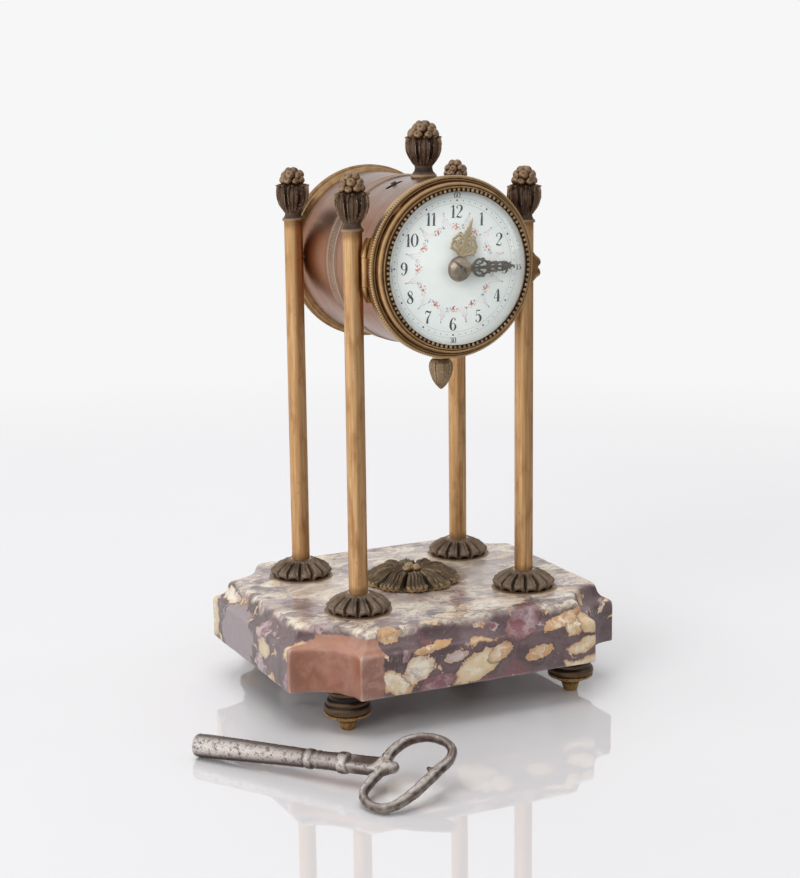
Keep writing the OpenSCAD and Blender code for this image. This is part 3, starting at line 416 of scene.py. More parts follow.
# Feet: four turned and cast brass feet, screwed into the marble. Dark lacquered discs,
# a row of beads under the disc, and a bright tapered tip.
def aged_bronze(dark, body, bright, cloud=0.6, gold_from=0.6):
    """Cast bronze: dark in the hollows, body colour on the faces, rubbed bright where it stands out."""
    def paint(place):
        level = place.wear() + (place.grain(cloud, 4, 0.65) - 0.5) * 0.5
        colour = level.ramp((0.1, dark), (0.7 * gold_from, body), (gold_from, body), (gold_from + 0.32, bright))
        colour = (place.grain(0.16, 3).rise(0.5, 0.7) * 0.3).tint(colour, (0.1, 0.08, 0.062))
        return {"Base Color": colour, "Roughness": 0.6 - 0.25 * level.rise(0.3, 0.9),
                "Metallic": 0.55 + 0.45 * level.rise(0.25, 0.7),
                "Bump": (place.grain(2.5, 4, 0.6), 0.05)}
    return paint


def ball_shape():
    """Unit sphere that beads and berries are copied from."""
    shaper = bmesh.new()
    bmesh.ops.create_icosphere(shaper, subdivisions=3, radius=1)
    shaper.verts.index_update()
    shape = np.array([v.co for v in shaper.verts]), [tuple(v.index for v in f.verts) for f in shaper.faces]
    shaper.free()
    return shape


unit_ball = ball_shape()


def ball(centre, size, dimple=0.0, outward=(0, 0, 1)):
    """A bead or berry, dented where it faces outward."""
    points, faces = unit_ball
    away = np.array(outward, float) / np.linalg.norm(outward)
    slope = np.arccos(np.clip(points @ away, -1, 1))
    grown = points * (1 - dimple * np.exp(-(slope / 0.33) ** 2))[:, None]
    return grown * size + centre, faces


foot_at = (40, 36.6)
foot_profile = [(0, 0), (1.8, 0), (2.15, 0.12), (2.35, 0.5), (2.75, 2.2), (3.25, 3.55), (3.4, 3.75), (4.7, 3.85),
                (5, 4), (5.1, 4.4), (5.7, 4.6), (5.85, 5.2), (6.1, 5.6), (7, 5.85), (7.4, 6.3), (7.55, 6.9),
                (7.5, 7.5), (7.2, 8.1), (6.75, 8.4), (6.6, 8.6), (6.7, 8.9), (6.65, 9.4), (6.3, 9.9), (5.6, 10.3),
                (5.45, 10.8), (5.55, 11.4), (6.1, 11.75), (6.45, 12.1), (6.5, 12.5), (6.5, 12.98), (1.5, 12.98),
                (1.5, 18.5), (0, 18.5)]
bead_turns, bead_radius, bead_height, bead_size = 48, 6.9, 5.5, 0.5
disc_underside = 6.1


def foot_metal(place):
    """Dark disc above, polished tip and beads below."""
    look = aged_bronze((0.014, 0.01, 0.008), (0.045, 0.03, 0.022), (0.13, 0.085, 0.055))(place)
    low = 1 - (place.axis("Z") + place.grain(0.7)).rise(disc_underside, disc_underside + 0.4)
    gold = place.grain(0.9, 4).rise(0.35, 0.7).tint((0.5, 0.3, 0.1), (0.27, 0.145, 0.05))
    gold = place.wear().rise(0.1, 0.42).tint((0.06, 0.035, 0.015), gold)
    look["Base Color"] = low.tint(look["Base Color"], gold)
    look["Roughness"] = 0.36 + 0.12 * place.grain(0.6)
    return look


feet_finish = finish("foot_brass", foot_metal)
for corner, (sx, sy) in CORNERS.items():
    fx, fy = sx * foot_at[0], sy * foot_at[1]
    beads = [ball((fx + bead_radius * math.cos(t), fy + bead_radius * math.sin(t), bead_height), bead_size)
             for t in circle(bead_turns)]
    piece("turned_foot_" + corner, joined(turned(foot_profile, 72, (fx, fy)), *beads), feet_finish, "frame",
          ["foot_" + corner], 38, 3)


# Rosettes: cast bronze flowers of fourteen petals with raised outlines, on a thin irregular disc;
# each is clamped to the marble by the column that stands on it.
def bell(value, width):
    return np.exp(-(value / width) ** 2)


def step(value, low, high):
    t = np.clip((value - low) / (high - low), 0, 1)
    return t * t * (3 - 2 * t)


def rough(points, size, scale, seed=0.0):
    """Casting and handling leave no surface true: moves points by a little smooth noise."""
    drift = Vector((seed, seed * 1.7, -seed))
    return points + size * np.array([noise.noise_vector(Vector(p * scale) + drift) for p in points])


petals = 14
collar, rim, plinth = 3.7, 10.2, 10.7
rosette_height = 6.1


def petal_rosette(centre, seed):
    sides = petals * 20
    across = np.abs((np.arange(sides) / 20 + 0.5) % 1 - 0.5) * 2
    edge = rim - 1.35 * across ** 2.2
    rings = []
    for u in np.linspace(0, 1, 30):
        crown = rosette_height - 0.15 - 3.5 * u - 0.6 * u ** 4
        crown = crown + 0.6 * u ** 0.8 * (1 - across ** 2)
        crown = crown - 1.3 * bell(across - 1, 0.14) * step(u, 0.02, 0.4)
        crown = crown + 0.5 * bell(across - 0.7, 0.09) * step(u, 0.1, 0.35)
        crown = crown + 0.42 * bell(across, 0.1) * step(u, 0.06, 0.22) * (1 - step(u, 0.75, 0.97))
        crown = crown - 0.3 * bell(across - 0.36, 0.13) * step(u, 0.12, 0.35) * (1 - step(u, 0.9, 1))
        crown = crown + 0.34 * bell(u - 0.95, 0.05) * (1 - across ** 2)
        rings.append((collar + (edge - collar) * u, np.minimum(crown, rosette_height - 0.05)))
    last = rings[-1][1]
    arch = 0.55 + 1.1 * np.sqrt(np.clip(1 - (across / 0.66) ** 2, 0, 1))
    rings += [(edge + 0.1, last - 0.2), (edge + 0.05, (last + arch) / 2), (edge - 0.15, arch),
              (edge - 1.1, arch - 0.1), (edge - 1.9, 0.5)]
    turn = circle(sides)
    wobble = 0.25 * np.sin(3 * turn + seed) + 0.16 * np.sin(7 * turn + 2 * seed)
    rings += [(plinth - inward + wobble, height)
              for inward, height in ((0.3, 0.5), (0.05, 0.38), (0, 0.15), (0.1, 0))]
    rings += [(rod_hole, 0), (rod_hole, rosette_height), (3.2, rosette_height), (3.5, rosette_height - 0.05)]
    points, faces = polar(rings, sides, True)
    moved = rough(points, 0.16, 0.8, seed)
    free = (points[:, 2] > 0.7) & (points[:, 2] < rosette_height - 0.3)
    points[free] = moved[free]
    return points + [*centre, marble_top], faces


rosette_finish = finish("rosette_bronze", aged_bronze((0.02, 0.015, 0.011), (0.24, 0.18, 0.135), (0.66, 0.5, 0.33),
                                                      0.6, 0.56))
for count, (corner, (sx, sy)) in enumerate(CORNERS.items()):
    centre = sx * column_at[0], sy * column_at[1]
    piece("petal_rosette_" + corner, petal_rosette(centre, 1.0 + 2.3 * count), rosette_finish, "frame",
          ["rosette_" + corner], 50, 10)


# Centre rosette: a larger cast bronze flower of ten broad ribbed leaves round a cluster of knobs,
# held down by its own rod and nut under the marble.
broad_leaves = 10
rosette_reach = 16.4


def broad_rosette():
    sides = broad_leaves * 44
    part = np.arange(sides) / 44
    phase = (part + 0.5) % 1 - 0.5
    across = np.abs(phase) * 2
    lobes = np.abs(np.sin(phase * 5 * math.pi))
    edge = rosette_reach - 1.9 * across ** 2.6 - 0.5 * (1 - lobes) * (across < 0.9)
    rings = []
    for u in np.linspace(0, 1, 44):
        crown = 3.1 + 1.0 * math.sin(math.pi * min(u / 0.8, 1)) ** 0.8 - 1.7 * step(u, 0.5, 1)
        crown = crown + 0.9 * (1 - across ** 2) * step(u, 0.05, 0.3) * (1 - 0.5 * step(u, 0.75, 1))
        crown = crown - 2.4 * bell(across - 1, 0.16) * step(u, 0.1, 0.35)
        crown = crown + 0.55 * bell(across - 0.78, 0.09) * step(u, 0.12, 0.35)
        crown = crown + 0.26 * np.cos(phase * 14 * math.pi) * step(u, 0.2, 0.5) * (across < 0.66)
        crown = crown + 0.5 * bell(across, 0.09) * step(u, 0.08, 0.3) * (1 - step(u, 0.8, 1))
        crown = crown + 0.35 * bell(u - 0.95, 0.05) * (across < 0.86)
        rings.append((2.2 + (edge - 2.2) * u, np.maximum(crown, 0.7)))
    last = rings[-1][1]
    arch = 0.15 + 0.6 * lobes * (across < 0.9)
    rings += [(np.minimum(edge - inward, rosette_reach), height) for inward, height in [
        (-0.1, last - 0.3), (0, (last + arch) / 2), (0.35, arch), (1.6, arch), (2.4, 0)]]
    rings += [(rod_hole, 0), (rod_hole, 3.3), (0.3, 3.4), (0.3, 3.6)]
    points, faces = polar(rings, sides, True)
    moved = rough(points, 0.3, 0.35, 5)
    moved = rough(moved, 0.1, 1.3, 9)
    free = points[:, 2] > 0.8
    points[free] = moved[free]
    return points + [0, 0, marble_top], faces


knobs = [ball((1.9 * math.cos(t), 1.9 * math.sin(t), marble_top + 4.3), 1.65, 0.2, (math.cos(t), math.sin(t), 1))
         for t in np.radians([200, 318, 80])]
knobs.append(ball((0, 0, marble_top + 4.2), 1.7))
centre_finish = finish("centre_bronze", aged_bronze((0.02, 0.014, 0.01), (0.15, 0.11, 0.072), (0.58, 0.42, 0.24),
                                                    0.45, 0.54))
piece("leaf_rosette_centre", joined(broad_rosette(), *knobs), centre_finish, "frame",
      ["centre_rosette"], 50, 10)


# Columns: four straight lengths of brass tube slipped over the tie rods, drawn and satin polished,
# browned at their ends; each is clamped between its rosette and its finial.
column_foot, column_top = 39.5, 152.5


def column_brass(place):
    streaks = place.stretch((1.4, 1.4, 0.045)).grain(1, 4, 0.6)
    fine = place.stretch((6, 6, 0.12)).grain(1, 3, 0.6)
    clouds = place.stretch((0.3, 0.3, 0.09)).grain(1, 4, 0.55)
    colour = streaks.rise(0.3, 0.7).tint((0.5, 0.28, 0.125), (0.72, 0.46, 0.235))
    colour = (clouds.rise(0.48, 0.72) * 0.55).tint(colour, (0.33, 0.145, 0.055))
    height = place.axis("Z") + 3 * (place.grain(0.4, 4) - 0.5)
    ends = 1 - height.rise(column_foot, column_foot + 2.5) * (1 - height.rise(column_top - 3.5, column_top - 0.5))
    colour = (ends * 0.55).tint(colour, (0.2, 0.1, 0.045))
    spots = 1 - place.cells(0.35).rise(0.05, 0.13)
    colour = (spots * 0.4).tint(colour, (0.16, 0.09, 0.05))
    return {"Base Color": colour, "Roughness": 0.33 + 0.16 * clouds + 0.1 * ends,
            "Bump": (fine + 0.5 * place.grain(1.5), 0.02)}


def dress(look, *names):
    """Gives carried-over CAD nodes their finish."""
    for name in names:
        nodes[name].data.materials.clear()
        nodes[name].data.materials.append(look)


dress(finish("column_brass", column_brass, Metallic=1.0), *["column_" + corner for corner in CORNERS])


# Bud finials: cast bronze, a flared collar and waist, eight blunt fluted leaves and a cluster of
# berries; screwed on the ends of the tie rods, and the largest one into the drum.
def bud(foot, leaves, flare, tiers, seed, stem):
    """A bud on its collar: leaves is (bottom, top, widest radius), flare the collar's outline."""
    low, high, widest = leaves
    sides = 8 * 30
    phase = np.arange(sides) / 30 % 1
    rings = [(0, stem), *flare]
    across = np.abs(phase - 0.5) * 2
    waist = flare[-1][0]
    for z in np.linspace(low, high + 0.6, 64):
        t = (z - low) / (high - low)
        outer = waist + (widest - waist) * math.sin(math.pi / 2 * min(t / 0.62, 1)) ** 0.9
        outer -= 0.7 * max(0, (t - 0.7) / 0.3) ** 2
        belly = outer - 1.25 * min(t / 0.25, 1) - 1.1 * max(0, (t - 0.6) / 0.4) ** 1.5
        blade = 0.84 * math.sqrt(max(1 - max((t - 0.6) / 0.4, 0) ** 2, 0)) * (0.74 + 0.26 * min(t / 0.35, 1))
        near = across / max(blade, 0.05)
        inside = step(blade - across, -0.02, 0.09) * (t <= 1)
        swell = 0.5 + 0.2 * np.sqrt(np.clip(1 - near ** 2, 0, 1)) + 0.46 * bell(near - 0.84, 0.12)
        swell = swell - 0.16 * bell(near - 0.46, 0.2) + 0.2 * bell(near, 0.12) * (1 - step(t, 0.4, 0.65))
        swell = swell + 0.3 * bell(t - 0.95, 0.05)
        rings.append((np.maximum(belly + (outer - belly) * inside * swell, 0.4), z))
    top = tiers[-1][2]
    rings += [(share * widest * 0.42, high + 0.7 + (1 - share) * (top - high - 1.1)) for share in (0.9, 0.6, 0.3, 0)]
    points, faces = polar(rings, sides)
    free = points[:, 2] > low
    points[free] = rough(points, 0.13, 0.9, seed)[free]
    parts = [(points, faces)]
    for number, reach, z, size in tiers:
        for i in range(number):
            turn = 2 * math.pi * (i + 0.37 * z + seed) / number
            way = np.array([math.cos(turn), math.sin(turn), 0.55])
            wobble = 0.25 * math.sin(9 * turn + z)
            place = (reach * way[0], reach * way[1], z + wobble)
            parts.append(ball(place, size * (1 + 0.4 * wobble), 0.22, way))
    points, faces = joined(*parts)
    return points + foot, faces


bud_finish = finish("bud_bronze", aged_bronze((0.035, 0.022, 0.016), (0.14, 0.09, 0.062), (0.36, 0.24, 0.15), 0.5))
collar_outline = [(3.45, 0), (3.55, 0.25), (3.45, 0.75), (3.0, 1.1), (2.7, 1.7), (2.6, 2.3)]
berry_tiers = [(7, 2.75, 13.0, 1.4), (6, 2.5, 14.7, 1.4), (3, 1.2, 16.2, 1.4)]
for count, (corner, (sx, sy)) in enumerate(CORNERS.items()):
    foot = (sx * column_at[0], sy * column_at[1], column_top)
    shape = bud(foot, (2.5, 11.9, 5.45), collar_outline, berry_tiers, 0.6 + 1.9 * count, 0)
    piece("bud_finial_" + corner, shape, bud_finish, "frame", ["finial_" + corner], 50, 5)
drum_z, drum_r = 140.6, 26.55
crown_y = -12.35
crown_outline = [(4, -0.15), (4.15, 0.2), (4.1, 0.75), (3.5, 1.3), (2.95, 2), (2.75, 2.9), (2.85, 3.5)]
crown_tiers = [(7, 3.4, 13.3, 1.6), (6, 2.7, 15.0, 1.45), (3, 1.3, 16.5, 1.45)]
crown = bud((0, crown_y, drum_z + drum_r), (3.6, 13.0, 5.8), crown_outline, crown_tiers, 3.3, -0.15)
stud = turned([(0, -4.4), (1.2, -4.4), (1.2, 0.4), (0, 0.4)], 32)
stud = (stud[0] + [0, crown_y, drum_z + drum_r], stud[1])
piece("bud_finial_drum", joined(crown, stud), bud_finish, "frame", ["drum_finial"], 50, 5)


# Drum: a rolled and turned brass tube, coppery with age and polish, slotted for the regulator,
# with shallow turned lines either side of a milled band; its left side carries a painted coppery reflection.
lathe_lines = (-21.5, -4.4, 5.3, 25)


def drum_brass(place):
    line = place.stretch((0.02, 4.5, 0.02)).grain(1, 3, 0.7)
    clouds = place.stretch((0.07, 0.1, 0.07)).grain(1, 4, 0.55)
    colour = clouds.rise(0.35, 0.68).tint((0.39, 0.295, 0.255), (0.29, 0.19, 0.15))
    colour = (place.grain(0.25, 4, 0.6).rise(0.55, 0.75) * 0.4).tint(colour, (0.4, 0.34, 0.33))
    # Painted reflection: the drum's left side is painted a deeper orange-brown, standing for the darker room it
    # mirrors.
    painted_flank_reflection = (0 - place.axis("X") + 4 * (clouds - 0.5)).rise(12, 26)
    colour = (painted_flank_reflection * 0.7).tint(colour, (0.38, 0.16, 0.075))
    colour = (line.rise(0.55, 0.8) * 0.2).tint(colour, (0.2, 0.1, 0.07))
    along = place.axis("Y")
    turned_lines = sum((1 - abs(along - at).rise(0.05, 0.22) for at in lathe_lines), 0)
    colour = (turned_lines * 0.4).tint(colour, (0.13, 0.07, 0.05))
    spots = 1 - place.cells(0.3).rise(0.03, 0.09)
    colour = (spots * 0.5).tint(colour, (0.14, 0.08, 0.06))
    return {"Base Color": colour, "Roughness": 0.22 + 0.14 * clouds + 0.08 * line,
            "Bump": (line * 0.25 - turned_lines + 0.15 * place.grain(0.5), 0.05)}


dress(finish("drum_brass", drum_brass, Metallic=1.0), "drum_shell")


def forward(points, at=(0, 0)):
    """From the drum's own axes (right, up, forward) to the clock's frame."""
    right, up, ahead = np.asarray(points, float).T
    return np.column_stack([right + at[0], -ahead, up + at[1] + drum_z])


def on_drum(*parts):
    """Parts in the drum's own axes, as one shape in the clock's frame."""
    points, faces = joined(*parts)
    return forward(points), faces


def ribbed_ring(profile, ribs, steps, lean=0.0):
    """A closed (radius, forward, depth of ribs) profile round the drum's axis, milled with ribs."""
    sides = ribs * steps
    rings = [(radius - depth * (0.5 - 0.5 * np.cos(ribs * circle(sides) + lean * ahead)) ** 1.5, ahead)
             for radius, ahead, depth in profile]
    return on_drum(polar(rings, sides, True))


def band_brass(place):
    colour = place.wear().rise(0.1, 0.75).tint((0.16, 0.1, 0.075), (0.5, 0.36, 0.27))
    colour = (place.grain(0.2, 3).rise(0.5, 0.7) * 0.4).tint(colour, (0.3, 0.17, 0.11))
    return {"Base Color": colour, "Roughness": 0.3 + 0.15 * place.grain(0.8), "Bump": (place.grain(3), 0.01)}


band_finish = finish("band_brass", band_brass, Metallic=1.0)
band_profile = [(26.5, -4.15, 0), (26.68, -4.1, 0), (26.72, -3.9, 0), (26.68, -3.7, 0), (26.58, -3.55, 0),
                (26.6, -3.1, 0), (26.85, -3, 0), (26.95, -2.8, 0), (26.95, -2.5, 0), (26.92, -2.4, 0.2),
                (26.95, -2.2, 0.26), (26.97, -0.4, 0.28), (26.95, 1.4, 0.26), (26.92, 1.6, 0.2),
                (26.95, 1.7, 0), (26.95, 2, 0), (26.85, 2.2, 0), (26.6, 2.3, 0), (26.58, 2.75, 0),
                (26.68, 2.9, 0), (26.72, 3.1, 0), (26.68, 3.3, 0), (26.5, 3.35, 0)]
piece("milled_band_ribs", ribbed_ring(band_profile, 260, 5), band_finish, "frame", ["milled_band"],
      50, 2)


# Drop: a small cast brass bud wrapped in veined leaves, rubbed bright on their ribs; it hangs by a
# short turned neck that is screwed into the underside of the drum.
drop_y, drop_length = -23.4, 11.4


def hanging_bud():
    sides, below = 120, drum_z - drum_r - 1.2
    part = np.arange(sides) * 5 / sides
    rings = [(0, -drop_length)]
    for v in np.linspace(0.01, 1, 48):
        z = 9.6 * v - drop_length
        radius = np.interp(-z, [1.8, 2.4, 3.1, 4.2, 5.3, 6.7, 8, 9.2, 10.4, 11.1, 11.4],
                           [3.05, 3.5, 3.78, 3.9, 3.8, 3.45, 2.95, 2.3, 1.38, 0.7, 0.1])
        relief = np.zeros(sides)
        for shift, tip, proud in ((0, 0.08, 0.75), (0.5, 0, 0.35)):
            across = np.abs((part + shift) % 1 - 0.5) * 2
            blade = 0.95 * math.sqrt(np.clip((v - tip) / 0.35, 0, 1))
            near = across / max(blade, 0.05)
            veins = 0.1 * np.cos(5 * math.pi * (1.2 * near - 3 * v))
            leaf = 0.7 + 0.2 * bell(near, 0.14) + 0.14 * bell(near - 0.85, 0.12) + veins * (near > 0.15)
            relief = np.maximum(relief, proud * leaf * step(blade - across, 0, 0.12))
        rings.append((radius * (0.86 + 0.14 * relief / 0.75 * min(1, 6 * v)), z))
    rings += [(2.5, -1.6), (2.62, -1.45), (2.76, -1.2), (2.78, -0.4), (2.7, -0.2), (2.7, 0.4), (2.78, 1.1), (0, 1.15)]
    points, faces = polar(rings, sides)
    return rough(points, 0.05, 0.9, 2) + [0, drop_y, below], faces


drop_finish = finish("drop_brass", aged_bronze((0.05, 0.03, 0.018), (0.33, 0.235, 0.14), (0.66, 0.5, 0.31), 0.55))
piece("bud_drop", hanging_bud(), drop_finish, "frame", ["leaf_pendant"], 50, 4)


# Bezel, catch, hinge, back ring and back door: cast and turned brass, gilded, rubbed on its mouldings
# and dark in its grooves. The bezel's outer edge is milled like a rope.
def gilt_brass(place):
    proud = place.node("NewGeometry", {}, {}, "Pointiness")
    mottle = place.grain(0.5, 4, 0.6)
    colour = (proud.rise(0.42, 0.6) * 0.7 + 0.45 * mottle).ramp(
        (0.2, (0.11, 0.06, 0.03)), (0.42, (0.29, 0.17, 0.085)), (0.62, (0.43, 0.255, 0.12)),
        (0.9, (0.6, 0.405, 0.205)))
    colour = (place.grain(0.12, 3).rise(0.5, 0.72) * 0.4).tint(colour, (0.19, 0.095, 0.045))
    return {"Base Color": colour, "Roughness": 0.27 + 0.22 * mottle,
            "Bump": (place.grain(2, 4) + 0.4 * place.grain(0.5), 0.02)}


gilt_finish = finish("gilt_brass", gilt_brass, Metallic=1.0)
dress(gilt_finish, "front_bezel", "hinge_leaf", "hinge_pins")


def turned_gilt(place):
    """The back door and its ring still show the lathe's fine rings."""
    radius = place.shift((0, 0, -drum_z)).stretch((1, 0, 1)).length()
    rings = radius.node("CombineXYZ", {}, {"X": radius * 1.8, "Y": place.axis("Y") * 1.8}).grain(1, 3, 0.6)
    mottle = place.grain(0.3, 4, 0.6)
    colour = (0.4 * rings + 0.6 * mottle).ramp(
        (0.32, (0.19, 0.1, 0.045)), (0.5, (0.4, 0.24, 0.115)), (0.68, (0.56, 0.38, 0.19)))
    return {"Base Color": colour, "Roughness": 0.3 + 0.2 * mottle, "Bump": (rings, 0.02)}


dress(finish("turned_gilt", turned_gilt, Metallic=1.0), "rear_ring", "rear_door")


def rubbed_gilt(place):
    colour = (place.wear() + 0.4 * (place.grain(0.6, 4) - 0.5)).ramp(
        (0.1, (0.05, 0.026, 0.013)), (0.45, (0.24, 0.135, 0.06)), (0.9, (0.62, 0.44, 0.235)))
    return {"Base Color": colour, "Roughness": 0.24 + 0.2 * place.grain(0.7), "Bump": (place.grain(3), 0.01)}


rubbed_finish = finish("rubbed_gilt", rubbed_gilt, Metallic=1.0)
rope = [(27.72 + 0.5 * math.cos(t), 31.75 + 0.62 * math.sin(t), 0.26 * max(0.0, math.cos(t - 0.5)) ** 0.5)
        for t in np.linspace(0, 2 * math.pi, 14, endpoint=False)]
piece("bezel_rope_edge", ribbed_ring(rope, 210, 6, 2.2), rubbed_finish, "front_door", (), 60, 2)


def smooth_line(points, steps, closed=False):
    """A curve through the points, which may carry widths too."""
    given = np.array(points, float)
    if closed:
        padded = np.concatenate([given[-1:], given, given[:2]])
    else:
        padded = np.concatenate([2 * given[:1] - given[1:2], given, 2 * given[-1:] - given[-2:-1]])
    line = []
    for a, b, c, d in zip(padded, padded[1:], padded[2:], padded[3:]):
        for t in np.arange(steps) / steps:
            line.append(0.5 * (2 * b + (c - a) * t + (2 * a - 5 * b + 4 * c - d) * t * t
                               + (3 * b - a - 3 * c + d) * t ** 3))
    if not closed:
        line.append(given[-1])
    return np.array(line)


catch_line = smooth_line([(27.2, 4.7), (28.4, 4), (29.5, 2.75), (30.5, 1.75), (31.4, 1), (31.85, 0.1), (31.7, -0.75),
                          (30.9, -1.7), (31.5, -2.5), (31.8, -3.5), (31.45, -4.3), (30.6, -4.85), (29.6, -5.7),
                          (28.5, -6.7), (27.2, -7.2)], 5)
catch_rows = []
for inward, ahead in ((0.25, 29.5), (0, 29.65), (0, 30.5), (0.12, 30.72), (0.34, 30.72), (0.5, 30.4), (0.75, 30.3)):
    drawn_in = catch_line + (np.array([27.4, -1.4]) - catch_line) * inward / 4
    catch_rows.append(np.column_stack([drawn_in, np.full(len(catch_line), ahead)]))
catch = capped(rough(np.concatenate(catch_rows), 0.08, 0.9, 7), len(catch_line))
piece("thumb_catch", on_drum(catch), gilt_finish, "front_door", ["bezel_catch"], 50)


# Beaded ring: a thin flat brass hoop pressed into the bezel in front of the glass, with ninety-six
# beads standing on it; their heads carry a painted highlight, the hoop and the gaps between them painted shade.
pearl_count, pearl_radius, pearl_ahead, pearl_size = 96, 24.02, 36.22, 0.57
hoop = [(24.3, 34.62, 0), (24.63, 34.62, 0), (24.63, 36.05, 0), (24.5, 36.2, 0), (23.6, 36.2, 0), (23.42, 36.1, 0),
        (23.42, 35.92, 0), (24.3, 35.92, 0)]
pearls = [ball((pearl_radius * math.cos(t), pearl_radius * math.sin(t), pearl_ahead), pearl_size)
          for t in circle(pearl_count)]


def pearl_brass(place):
    """Painted highlight on the beads' heads, painted shade on the hoop and between the beads."""
    # Painted highlight and shade: what stands forward is painted bright, everything behind it near black.
    proud = (0 - place.axis("Y") + 0.25 * (place.grain(0.8) - 0.5)).rise(36.3, 36.72)
    head_highlight = place.grain(0.5, 3).rise(0.35, 0.65).tint((0.54, 0.385, 0.225), (0.33, 0.205, 0.11))
    colour = proud.tint((0.045, 0.024, 0.014), head_highlight)
    return {"Base Color": colour, "Roughness": 0.32 + 0.15 * place.grain(0.7), "Bump": (place.grain(3), 0.01)}


piece("pearl_ring", joined(ribbed_ring(hoop, 48, 4), on_drum(*pearls)),
      finish("pearl_brass", pearl_brass, Metallic=1.0), "front_door", ["bead_ring"], 40)


# Glass: a thin domed disc of clear glass, ground at its edge and held in the bezel by the beaded
# ring, faintly marked by wiping.
def clear_glass():
    made, start, place = blank_material("domed_glass")
    smears = place.stretch((0.15, 0.15, 0.4)).grain(1, 4, 0.6)
    tint = smears.rise(0.3, 0.8).tint((0.985, 0.995, 0.99), (0.96, 0.975, 0.97))
    bump = start.node("Bump", {}, {"Height": place.grain(0.04, 1), "Distance": 0.00005})
    pane = start.node("BsdfPrincipled", {}, {"Base Color": tint, "Roughness": 0.01 + 0.02 * smears, "Normal": bump,
                                             "Transmission Weight": 1.0, "IOR": 1.45})
    clear = start.node("BsdfTransparent", {}, {"Color": (0.97, 0.98, 0.975)})
    mixed = start.node("MixShader", {}, {0: start.ray("Shadow"), 1: pane, 2: clear})
    start.node("OutputMaterial", {}, {"Surface": mixed})
    return made


dress(clear_glass(), "glass")


# Dial: copper disc under white vitreous enamel, with fired black figures and minute dots,
# and small painted garlands of roses between the hours.
def enamel(place):
    depth = place.grain(0.08, 3)
    colour = depth.rise(0.35, 0.7).tint((0.82, 0.86, 0.85), (0.87, 0.89, 0.88))
    pits = 1 - place.cells(0.9).rise(0.02, 0.06)
    colour = (pits * 0.5).tint(colour, (0.5, 0.52, 0.52))
    return {"Base Color": colour, "Roughness": 0.12 + 0.06 * place.grain(1), "Bump": (place.grain(0.25, 2), 0.02)}


dress(finish("white_enamel", enamel, Coat_Weight=0.3), "dial")
dial_front = 33.2


def strip(run, back, front, crown=0.0):
    """A flat strip along points of (right, up, half width), with a low crown on its front."""
    run = np.array(run, float)
    path, half = run[:, :2], np.maximum(run[:, 2], 0.004)
    way = np.gradient(path, axis=0)
    way /= np.linalg.norm(way, axis=1)[:, None] + 1e-12
    side = np.column_stack([-way[:, 1], way[:, 0]])
    ring = []
    for across, ahead in ((-1, back), (1, back), (1, front), (0.5, front + 0.8 * crown), (0, front + crown),
                          (-0.5, front + 0.8 * crown), (-1, front)):
        ring.append(np.column_stack([path + side * (half * across)[:, None], np.full(len(path), float(ahead))]))
    return capped(np.stack(ring, 1).reshape(-1, 3), len(ring))


def dot(x, up, radius, back, front):
    """A small round dab."""
    sides = 14
    rings = [(radius, back), (radius, front), (radius * 0.6, front), (radius * 0.2, front)]
    return capped(polar(rings, sides)[0] + [x, up, 0], sides)


